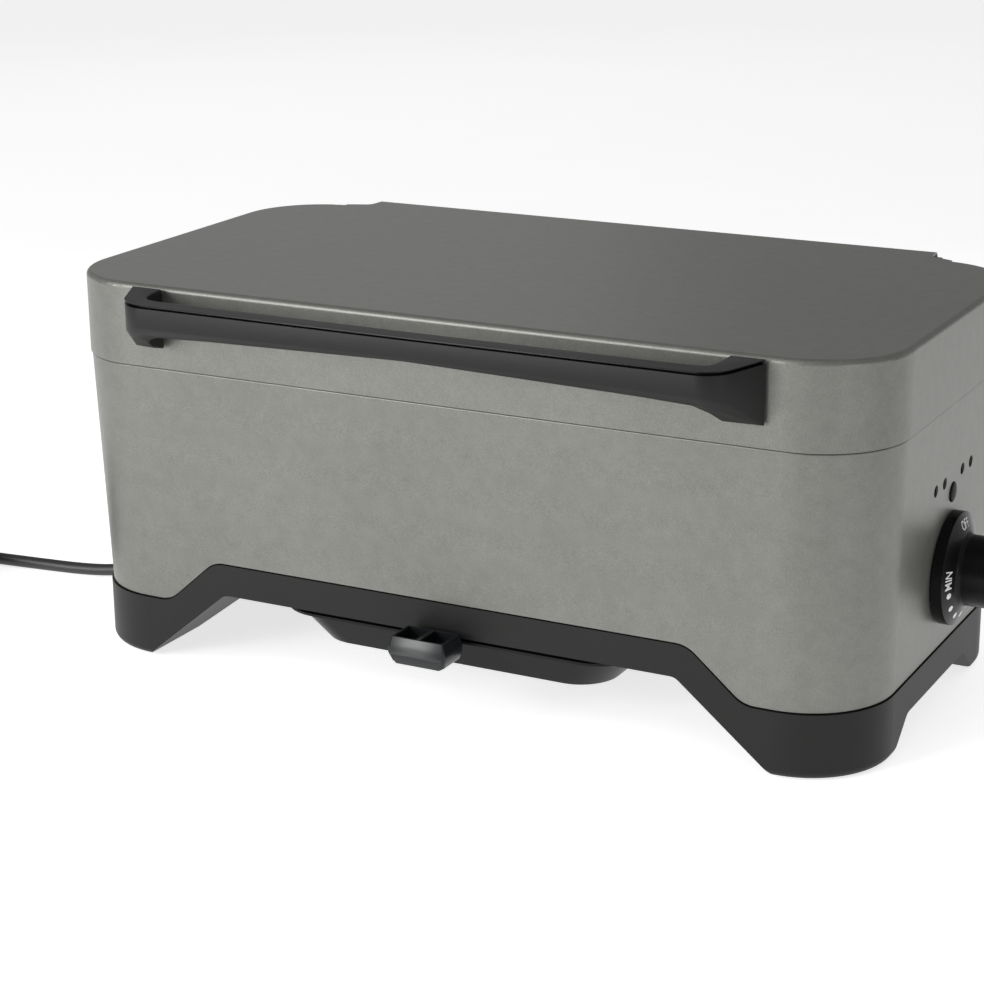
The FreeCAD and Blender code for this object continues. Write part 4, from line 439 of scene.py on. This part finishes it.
def coil_turns():
    """In along the table, up a layer and out on top, in half turns about two shifting centres."""
    step = COIL_PITCH / 2
    low = COIL_ENTRY.z
    high = low + COIL_PITCH
    half_step = math.pi / POINTS_PER_HALF_TURN / 2
    centre_y = COIL_ENTRY.y - COIL_RADIUS
    radius = COIL_RADIUS
    side = 1
    points = []
    for turn in range(HALF_TURNS_IN + 1 + HALF_TURNS_OUT):
        climbing = turn == HALF_TURNS_IN
        for index in range(POINTS_PER_HALF_TURN):
            angle = side * math.pi / 2 + (2 * index + 1) * half_step
            climb = (index + 0.5) / POINTS_PER_HALF_TURN if climbing else float(turn > HALF_TURNS_IN)
            reach = radius / math.cos(half_step)
            x = COIL_X + reach * math.cos(angle)
            y = centre_y + reach * math.sin(angle)
            points.append(Vector((x, y, low + (high - low) * climb)))
        growth = -step if turn < HALF_TURNS_IN else step
        radius += growth
        centre_y += side * growth
        side = -side
    return points


def tail_to_plug():
    """From the top of the coil to the plug, which lies on its side."""
    turned_out = COIL_ENTRY.y + (HALF_TURNS_OUT - HALF_TURNS_IN) * COIL_PITCH
    start = Vector((COIL_X - 2 * CORD_RADIUS, turned_out, coil_turns()[-1].z))
    rise = PLUG_RADIUS - start.z
    return [
        start,
        start + Vector((-12, 0, 0)),
        start + Vector((-34, -5, 1)),
        start + Vector((-54, -20, rise - 1)),
        start + Vector((-65, -42, rise)),
        start + Vector((-67, -58, rise)),
    ]


def make_cord():
    route = run_to_coil() + coil_turns() + tail_to_plug()
    curve = bpy.data.curves.new("mains_cord", "CURVE")
    curve.dimensions = "3D"
    spline = curve.splines.new("NURBS")
    spline.points.add(len(route) - 1)
    for point, place in zip(spline.points, route):
        point.co = (*at(*place), 1)
    spline.order_u = 3
    spline.use_endpoint_u = True
    spline.resolution_u = 8
    curve.bevel_depth = CORD_RADIUS * MM
    curve.bevel_resolution = 6
    curve.use_fill_caps = True
    cord = bpy.data.objects.new("mains_cord", curve)
    bpy.context.scene.collection.objects.link(cord)
    dress(cord, "housing", "power_cord")
    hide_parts("power_cord", "cord_coil", "cord_tail")


# Modelling by hand, in millimetres

# Places closer than TOUCHING are the same, and closer than BESIDE they are near each other. A way leans
# along an axis with LEANING of it, and runs along it with STRAIGHT.
SELECT_MODES = {"VERT": "verts", "EDGE": "edges", "FACE": "faces"}
TOUCHING = 0.1
BESIDE = 1.0
LEANING = 0.3
STRAIGHT = 0.9


def begin(name, add, **settings):
    """Adds a primitive, puts its place in its mesh and opens it with nothing selected."""
    bpy.ops.object.select_all(action="DESELECT")
    add(**settings)
    piece = bpy.context.object
    piece.name = name
    bpy.ops.object.transform_apply(location=True, rotation=True, scale=True)
    bpy.ops.object.mode_set(mode="EDIT")
    bpy.ops.mesh.select_all(action="DESELECT")
    return piece


def block(name, low, high):
    """A cube between two corners."""
    low = Vector(low) * MM
    high = Vector(high) * MM
    middle = (low + high) / 2
    return begin(name, bpy.ops.mesh.primitive_cube_add, size=1, location=middle, scale=high - low)


def middle_of(element):
    if isinstance(element, bmesh.types.BMVert):
        return element.co
    if isinstance(element, bmesh.types.BMEdge):
        return (element.verts[0].co + element.verts[1].co) / 2
    return element.calc_center_median()


def way_of(element):
    """The normal of a face or a corner, or the way that an edge runs."""
    if isinstance(element, bmesh.types.BMEdge):
        return (element.verts[1].co - element.verts[0].co).normalized()
    return element.normal


def outward_of(edge):
    """The mean normal of an edge's faces."""
    return sum((face.normal for face in edge.link_faces), Vector()).normalized()


def pick(kind, wanted, read_way=way_of):
    """Selects the corners, edges or faces whose middle and way pass a test."""
    bpy.ops.mesh.select_mode(type=kind)
    bpy.ops.mesh.select_all(action="DESELECT")
    data = bpy.context.edit_object.data
    mesh = bmesh.from_edit_mesh(data)
    for element in getattr(mesh, SELECT_MODES[kind]):
        if wanted(middle_of(element) / MM, read_way(element)):
            element.select_set(True)
    bmesh.update_edit_mesh(data)


def near(place, wanted, gap=BESIDE):
    return abs(place - wanted) < gap


def pick_upright(x, y):
    """Selects the upright edge at a place in plan."""
    pick("EDGE", lambda middle, way: abs(way.z) > STRAIGHT and near(middle.x, x) and near(middle.y, y))


def shift(x=0, y=0, z=0):
    bpy.ops.transform.translate(value=(x * MM, y * MM, z * MM))


def extrude(x=0, y=0, z=0):
    bpy.ops.mesh.extrude_region_move(TRANSFORM_OT_translate={"value": (x * MM, y * MM, z * MM)})


def resize(shares, centre=(0, 0, 0)):
    bpy.ops.transform.resize(value=shares, center_override=Vector(centre) * MM)


def bevel(width, segments):
    bpy.ops.mesh.bevel(offset=width * MM, segments=segments, affect="EDGES")


def cut(place, normal):
    """A cut through the whole piece along a plane."""
    bpy.ops.mesh.select_all(action="SELECT")
    bpy.ops.mesh.bisect(plane_co=Vector(place) * MM, plane_no=normal)


def modify(kind, **settings):
    """Adds a modifier to the active piece and applies it."""
    if bpy.context.object.mode == "EDIT":
        bpy.ops.object.mode_set(mode="OBJECT")
    modifier = bpy.context.object.modifiers.new(kind.lower(), kind)
    for key, value in settings.items():
        setattr(modifier, key, value)
    bpy.ops.object.modifier_apply(modifier=modifier.name)


def done(piece, smooth=35):
    """Turns the piece's faces outwards, shades it and moves it to the grill's place."""
    if bpy.context.object.mode == "OBJECT":
        bpy.ops.object.mode_set(mode="EDIT")
    bpy.ops.mesh.select_all(action="SELECT")
    bpy.ops.mesh.normals_make_consistent(inside=False)
    bpy.ops.object.mode_set(mode="OBJECT")
    bpy.ops.object.shade_smooth_by_angle(angle=math.radians(smooth))
    piece.location = home
    bpy.ops.object.transform_apply(location=True, rotation=True, scale=True)
    return piece


def turned(name, start, way, stations, sides=64):
    """A turned piece: rings at a distance along its way, each with its radius."""
    (first, radius), (second, next_radius) = stations[:2]
    piece = begin(
        name,
        bpy.ops.mesh.primitive_cone_add,
        vertices=sides,
        radius1=radius * MM,
        radius2=next_radius * MM,
        depth=(second - first) * MM,
        location=(start + way * (first + second) / 2) * MM,
        rotation=way.to_track_quat("Z", "Y").to_euler(),
    )
    pick("FACE", lambda middle, normal: normal.dot(way) > 0.999)
    for (before, old), (after, new) in zip(stations[1:], stations[2:]):
        extrude(*(way * (after - before)))
        resize((new / old,) * 3, start + way * after)
    return piece


# Lid handle: half of it is shaped, then mirrored

BAR_CORNER_X = 184
BAR_DEPTH = 11
BAR_HEIGHT = 15
BAR_FALL = 1.6
FOOT_LENGTH = 20
FOOT_GAP = 2.6
FOOT_SHARES = (0.78, 1, 0.86)
LEG_LEAN = 1.5
CORNER_REACH = 12.0
INNER_CORNER_REACH = 8.4
CHAMFER = 2.8
CHAMFER_END_SHARE = 0.1
EDGE_ROUND = 0.6
BACK_ROUND = 1.1
GROOVE_BELOW_TOP = 0.3
GROOVE_HEIGHT = 1.9
GROOVE_DEPTH = 3.0
LIP_ROUND = 0.6
FLARE_REACH = 41
FLARE_BELOW_TOP = 5

handle_low, handle_high = box_in_mm("lid_handle")
foot_x = (handle_high.x - handle_low.x) / 2
leg_x = foot_x - FOOT_LENGTH - LEG_LEAN
leg_end = handle_high.y - FOOT_GAP
bar_front = handle_low.y
bar_back = bar_front + BAR_DEPTH
bar_top = handle_high.z - BAR_FALL
bar_bottom = bar_top - BAR_HEIGHT
groove_middle = bar_top - GROOVE_BELOW_TOP - GROOVE_HEIGHT / 2


def faces_front(outward):
    return outward.y < -LEANING or outward.x > LEANING


def faces_back(outward):
    return outward.y > LEANING or outward.x < -LEANING


def at_leg_end(middle):
    return middle.y > leg_end - TOUCHING


def between_ends(middle):
    return middle.x > BESIDE and middle.y < leg_end - TOUCHING


def along_chamfer(outward):
    """Whether an edge runs along the front's chamfer; those across it point half downwards."""
    across = near(outward.z, -math.sin(math.pi / 4), 0.15)
    return -0.97 < outward.z < -0.2 and not across and faces_front(outward)


def along_back(outward):
    """Whether an edge runs along the back's top or underside."""
    return abs(outward.z) > 0.6 and faces_back(outward)


def open_handle_ends():
    """Takes off the faces at the handle's middle and at the leg's end."""
    pick("FACE", lambda middle, normal: middle.x < TOUCHING or at_leg_end(middle))
    bpy.ops.mesh.delete(type="FACE")


def outline_handle():
    """Half of the bar with its leg, and their corner rounded outside and inside."""
    handle = block("handle", (0, bar_front, bar_bottom), (leg_x, bar_back, bar_top))
    pick_upright(leg_x, bar_front)
    shift(x=BAR_CORNER_X - leg_x)
    pick("FACE", lambda middle, normal: normal.x > LEANING)
    extrude(x=LEG_LEAN, y=leg_end - bar_back)
    pick_upright(BAR_CORNER_X + LEG_LEAN, bar_front + leg_end - bar_back)
    shift(x=foot_x - BAR_CORNER_X - LEG_LEAN, y=bar_back - bar_front)
    pick_upright(BAR_CORNER_X, bar_front)
    bevel(CORNER_REACH, 9)
    pick_upright(leg_x, bar_back)
    bevel(INNER_CORNER_REACH, 6)
    return handle


def soften_handle():
    """A chamfer under the front that runs out at the foot, and fine rounds along it and the back."""
    pick("EDGE", lambda middle, outward: outward.z < -LEANING and faces_front(outward), outward_of)
    bevel(CHAMFER, 1)
    past_chamfer = CHAMFER * 1.2
    inner = foot_x - past_chamfer
    upper = bar_bottom + past_chamfer
    pick("VERT", lambda middle, normal: at_leg_end(middle) and middle.x > inner and middle.z < upper)
    resize((CHAMFER_END_SHARE, 1, CHAMFER_END_SHARE), (foot_x, leg_end, bar_bottom))
    pick("EDGE", lambda middle, outward: along_chamfer(outward) and between_ends(middle), outward_of)
    bevel(EDGE_ROUND, 2)
    pick("EDGE", lambda middle, outward: along_back(outward) and between_ends(middle), outward_of)
    bevel(BACK_ROUND, 3)


def groove_handle(handle):
    """A fine groove round the front, close under the top, with a rounded lower lip; its faces take the
    darker dial plastic as painted shade.
    """
    for depth in (GROOVE_BELOW_TOP, GROOVE_BELOW_TOP + GROOVE_HEIGHT):
        cut((0, 0, bar_top - depth), (0, 0, 1))
    strip = GROOVE_HEIGHT / 3
    pick("FACE", lambda middle, normal: near(middle.z, groove_middle, strip) and faces_front(normal))
    bpy.ops.mesh.extrude_region_shrink_fatten(TRANSFORM_OT_shrink_fatten={"value": -GROOVE_DEPTH * MM})
    open_handle_ends()
    past_lips = GROOVE_HEIGHT * 0.52
    pick(
        "FACE",
        lambda middle, normal: near(middle.z, groove_middle, past_lips)
        and (faces_front(normal) or abs(normal.z) > STRAIGHT),
    )
    # The groove's faces get the darker dial plastic: painted shade for the shade that falls deep in the gap
    # under the top.
    handle.data.materials.append(black_plastic.material)
    handle.data.materials.append(dial_plastic.material)
    handle.active_material_index = 1
    bpy.ops.object.material_slot_assign()
    lip = groove_middle - GROOVE_HEIGHT / 2
    pick(
        "EDGE",
        lambda middle, outward: near(middle.z, lip, TOUCHING)
        and outward.z > LEANING
        and faces_front(outward),
        outward_of,
    )
    bevel(LIP_ROUND, 2)


def pull_leg_end(z, falloff, reach, moves):
    """Moves the corners of the leg's end whose height may move, and those along the leg less and less."""
    pick("VERT", lambda middle, normal: not moves(middle.z))
    bpy.ops.mesh.hide(unselected=False)
    pick("VERT", lambda middle, normal: at_leg_end(middle) and moves(middle.z))
    bpy.ops.transform.translate(
        value=(0, 0, z * MM),
        use_proportional_edit=True,
        proportional_edit_falloff=falloff,
        proportional_size=reach * MM,
    )
    bpy.ops.mesh.reveal(select=False)


def make_handle():
    """A bar with two splayed legs that flare down to their feet, and a fine groove under its top."""
    handle = outline_handle()
    soften_handle()
    open_handle_ends()
    groove_handle(handle)
    split = bar_top - FLARE_BELOW_TOP
    pull_leg_end(handle_low.z - bar_bottom, "SMOOTH", FLARE_REACH, lambda height: height <= split)
    pull_leg_end(BAR_FALL, "LINEAR", leg_end - bar_front, lambda height: height >= split)
    pick("EDGE", lambda middle, way: at_leg_end(middle))
    bpy.ops.mesh.edge_face_add()
    extrude()
    resize(FOOT_SHARES, (foot_x - FOOT_LENGTH / 2, leg_end, (handle_low.z + handle_high.z) / 2))
    extrude(y=FOOT_GAP)
    modify("MIRROR", use_axis=(True, False, False), use_clip=True, merge_threshold=0.01 * MM)
    dress(done(handle), "lid", "lid_handle")
    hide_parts("lid_handle")


# Dial marks: angles are in degrees from the top, towards the front

DIAL_SKIRT_RADIUS = 33
DIAL_GRIP_RADIUS = 20.5
DIAL_SKIRT_DEPTH = 6
DIAL_SKIRT_RISE = 5
MARK_RADIUS = 27
LETTER_SIZE = 7.9
LETTER_WIDTH = 0.8
LETTER_ADVANCE = {"O": 4.4, "F": 3.5, "M": 4.8, "I": 2.1, "N": 4.1, "A": 4.1, "X": 3.9}
WORD_ANGLES = {"OFF": 0, "MIN": 88, "MAX": 271}
DOT_ANGLES = (108, 130, 154, 178, 202, 226, 250)
DOT_RADIUS = 1.9
INK_SPREAD = 0.1
INK_THICKNESS = 0.12


def lay_on_dial(mark, angle):
    """Stands a mark that was made flat at the origin on the dial's sloping face, its top outwards."""
    low, high = box_in_mm("control_dial")
    hub = Vector((low.x, (low.y + high.y) / 2, (low.z + high.z) / 2))
    outward = Vector((0, -math.sin(angle), math.cos(angle)))
    reading = Vector((0, math.cos(angle), math.sin(angle)))
    run = DIAL_SKIRT_RADIUS - DIAL_GRIP_RADIUS
    top = (outward * run - Vector((DIAL_SKIRT_RISE, 0, 0))).normalized()
    normal = reading.cross(top)
    rise = DIAL_SKIRT_RISE * (DIAL_SKIRT_RADIUS - MARK_RADIUS) / run
    place = hub + Vector((DIAL_SKIRT_DEPTH + rise, 0, 0)) + outward * MARK_RADIUS
    turn = Matrix((reading, top, normal)).transposed().to_4x4()
    mark.matrix_world = Matrix.Translation(place * MM) @ turn
    bpy.ops.object.transform_apply(location=True, rotation=True, scale=True)
    return mark


def make_letter(letter, angle):
    bpy.ops.object.select_all(action="DESELECT")
    bpy.ops.object.text_add()
    text = bpy.context.object
    text.data.body = letter
    text.data.size = LETTER_SIZE * MM
    text.data.extrude = INK_THICKNESS * MM
    text.data.offset = INK_SPREAD * MM
    text.data.align_x = "CENTER"
    text.data.align_y = "CENTER"
    text.data.resolution_u = 4
    bpy.ops.object.convert(target="MESH")
    bpy.ops.object.mode_set(mode="EDIT")
    bpy.ops.mesh.select_all(action="SELECT")
    resize((LETTER_WIDTH, 1, 1))
    bpy.ops.object.mode_set(mode="OBJECT")
    return lay_on_dial(bpy.context.object, angle)


def make_dot(angle):
    dot = begin(
        "dot",
        bpy.ops.mesh.primitive_cylinder_add,
        vertices=24,
        radius=DOT_RADIUS * MM,
        depth=INK_THICKNESS * 2 * MM,
    )
    pick("FACE", lambda middle, normal: normal.z > STRAIGHT)
    bevel(INK_THICKNESS / 2, 2)
    bpy.ops.object.mode_set(mode="OBJECT")
    return lay_on_dial(dot, angle)


def make_dial_marks():
    marks = []
    for word, degrees in WORD_ANGLES.items():
        along = -sum(LETTER_ADVANCE[letter] for letter in word) / 2
        for letter in word:
            along += LETTER_ADVANCE[letter] / 2
            marks.append(make_letter(letter, math.radians(degrees) - along / MARK_RADIUS))
            along += LETTER_ADVANCE[letter] / 2
    marks += [make_dot(math.radians(degrees)) for degrees in DOT_ANGLES]
    for mark in marks:
        mark.select_set(True)
    bpy.ops.object.join()
    joined = bpy.context.object
    joined.name = "dial_marks"
    dress(done(joined), "dial", "control_dial", print_white)


# Drawer grip

CREASE_HEIGHT = 44.2
BELLY_HEIGHT = 46.8
ARM_TOP = 48.4
GRIP_DEPTH = 22
GRIP_UNDER_ROUND = 2.2
GRIP_END_ROUND = 1.1
GRIP_EDGE_ROUND = 0.45
RECESS_WALL = 1.3
RECESS_DEPTH = 6
RIB_HALF_WIDTH = 0.2
ARM_SHARE = 0.66
TRAY_RIM = 5


def make_tray_grip():
    """A block with a creased, bowed front, on an arm that reaches under the tray's rim."""
    low, high = box_in_mm("tray_grip")
    front = low.y
    back = front + GRIP_DEPTH
    rim_front = high.y - TRAY_RIM
    half = (high.x - low.x) / 2
    grip = block("drawer_grip", (-half, front, low.z), (half, back, high.z))
    for height in (CREASE_HEIGHT, BELLY_HEIGHT, ARM_TOP):
        cut((0, 0, height), (0, 0, 1))
    for height, share, backward in (
        (high.z, 0.96, 2.3),
        (ARM_TOP, 1.05, 1.0),
        (BELLY_HEIGHT, 1.06, 0.6),
        (CREASE_HEIGHT, 1.05, 0),
        (low.z, 0.93, 2.2),
    ):
        pick("VERT", lambda middle, normal: near(middle.z, height, TOUCHING))
        resize((share, 1, 1))
        pick("VERT", lambda middle, normal: near(middle.z, height, TOUCHING) and middle.y < back - BESIDE)
        shift(y=backward)
    pick("EDGE", lambda middle, outward: outward.z < -LEANING and abs(outward.x) > LEANING, outward_of)
    bevel(GRIP_UNDER_ROUND, 3)
    pick("EDGE", lambda middle, outward: outward.y < -LEANING and abs(outward.x) > LEANING, outward_of)
    bevel(GRIP_END_ROUND, 3)
    for side in (-1, 1):
        cut((RIB_HALF_WIDTH * side, 0, 0), (1, 0, 0))
    pick(
        "FACE",
        lambda middle, normal: normal.z > STRAIGHT
        and near(middle.z, high.z, TOUCHING)
        and abs(middle.x) > BESIDE,
    )
    bpy.ops.mesh.inset(thickness=RECESS_WALL * MM, use_individual=True)
    extrude(z=-RECESS_DEPTH)
    pick(
        "FACE",
        lambda middle, normal: normal.y > STRAIGHT
        and near(middle.y, back, TOUCHING)
        and middle.z < ARM_TOP,
    )
    extrude()
    resize((ARM_SHARE, 1, 1))
    extrude(y=rim_front - back)
    pick(
        "FACE",
        lambda middle, normal: normal.y > STRAIGHT
        and near(middle.y, rim_front)
        and middle.z < CREASE_HEIGHT,
    )
    extrude(y=TRAY_RIM)
    sharp = math.radians(40)
    modify("BEVEL", width=GRIP_EDGE_ROUND * MM, segments=2, limit_method="ANGLE", angle_limit=sharp)
    dress(done(grip, smooth=22), "drawer", "tray_grip")
    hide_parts("tray_grip")


# Pilot lamp, strain relief and plug

LENS_RISE = 0.9
LENS_TURNS = (0.3, 0.6, 0.9, 1.2, 1.45)
RIB_COUNT = 7
FIRST_RIB = 3.2
RIB_PITCH = 3.0
RIB_RISE = 1.1
RIB_SECTION = ((-1.0, -0.4), (-0.6, RIB_RISE * 0.7), (0, RIB_RISE), (0.6, RIB_RISE * 0.7), (1.0, -0.4))
SLEEVE_ROOT_RADIUS = 6.2
SLEEVE_TIP_RADIUS = 5.0
PLUG_NECK = [
    (0, 5.4), (1.5, 6.4), (3.2, 6.6),
    (3.6, 5.9), (4.6, 5.9), (5.0, 6.9), (6.8, 7.1),
    (7.2, 6.3), (8.2, 6.3), (8.6, 7.4), (10.4, 7.7),
]
PLUG_WAIST = [(12.5, 10.0), (16, 13.6), (20, 15.4), (24, 15.0), (29, 13.9), (34, 14.4)]
PLUG_FACE = [(38, 16.8), (40.5, 18.2), (42, PLUG_RADIUS), (45.2, PLUG_RADIUS), (46, 17.6)]


def make_lens():
    """A low dome of smoked plastic, which looks black while the lamp behind it is off."""
    low, high = box_in_mm("pilot_lens")
    radius = (high.z - low.z) / 2
    centre = Vector((low.x, (low.y + high.y) / 2, (low.z + high.z) / 2))
    depth = high.x - low.x
    dome = [(depth + LENS_RISE * math.sin(turn), radius * math.cos(turn)) for turn in LENS_TURNS]
    lens = turned("lamp_lens", centre, Vector((1, 0, 0)), [(0, radius), (depth, radius)] + dome, sides=48)
    dress(done(lens), "housing", "pilot_lens")
    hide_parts("pilot_lens")


def make_sleeve_ribs():
    """Rounded rings round the strain relief, smaller towards its tip."""
    for number in range(RIB_COUNT):
        along = FIRST_RIB + number * RIB_PITCH
        radius = SLEEVE_ROOT_RADIUS + (SLEEVE_TIP_RADIUS - SLEEVE_ROOT_RADIUS) * along / SLEEVE_LENGTH
        stations = [(distance, radius + rise) for distance, rise in RIB_SECTION]
        centre = SLEEVE_ROOT + sleeve_way * along
        ring = turned(f"sleeve_rib_{number + 1}", centre, sleeve_way, stations, sides=40)
        dress(done(ring, smooth=50), "housing", "cord_gland")


def make_plug():
    """A moulded plug: a ribbed neck for the cord, a waist for the fingers and a flat face."""
    before_end, end = tail_to_plug()[-2:]
    way = (end - before_end).normalized()
    plug = turned("mains_plug", end, way, PLUG_NECK + PLUG_WAIST + PLUG_FACE)
    dress(done(plug, smooth=50), "housing", "plug_body")
    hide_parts("plug_body")
    return plug


make_camera()
make_studio()
make_floor()
paint_nodes()
plug = make_plug()
make_cord()
make_handle()
make_dial_marks()
make_tray_grip()
make_lens()
make_sleeve_ribs()
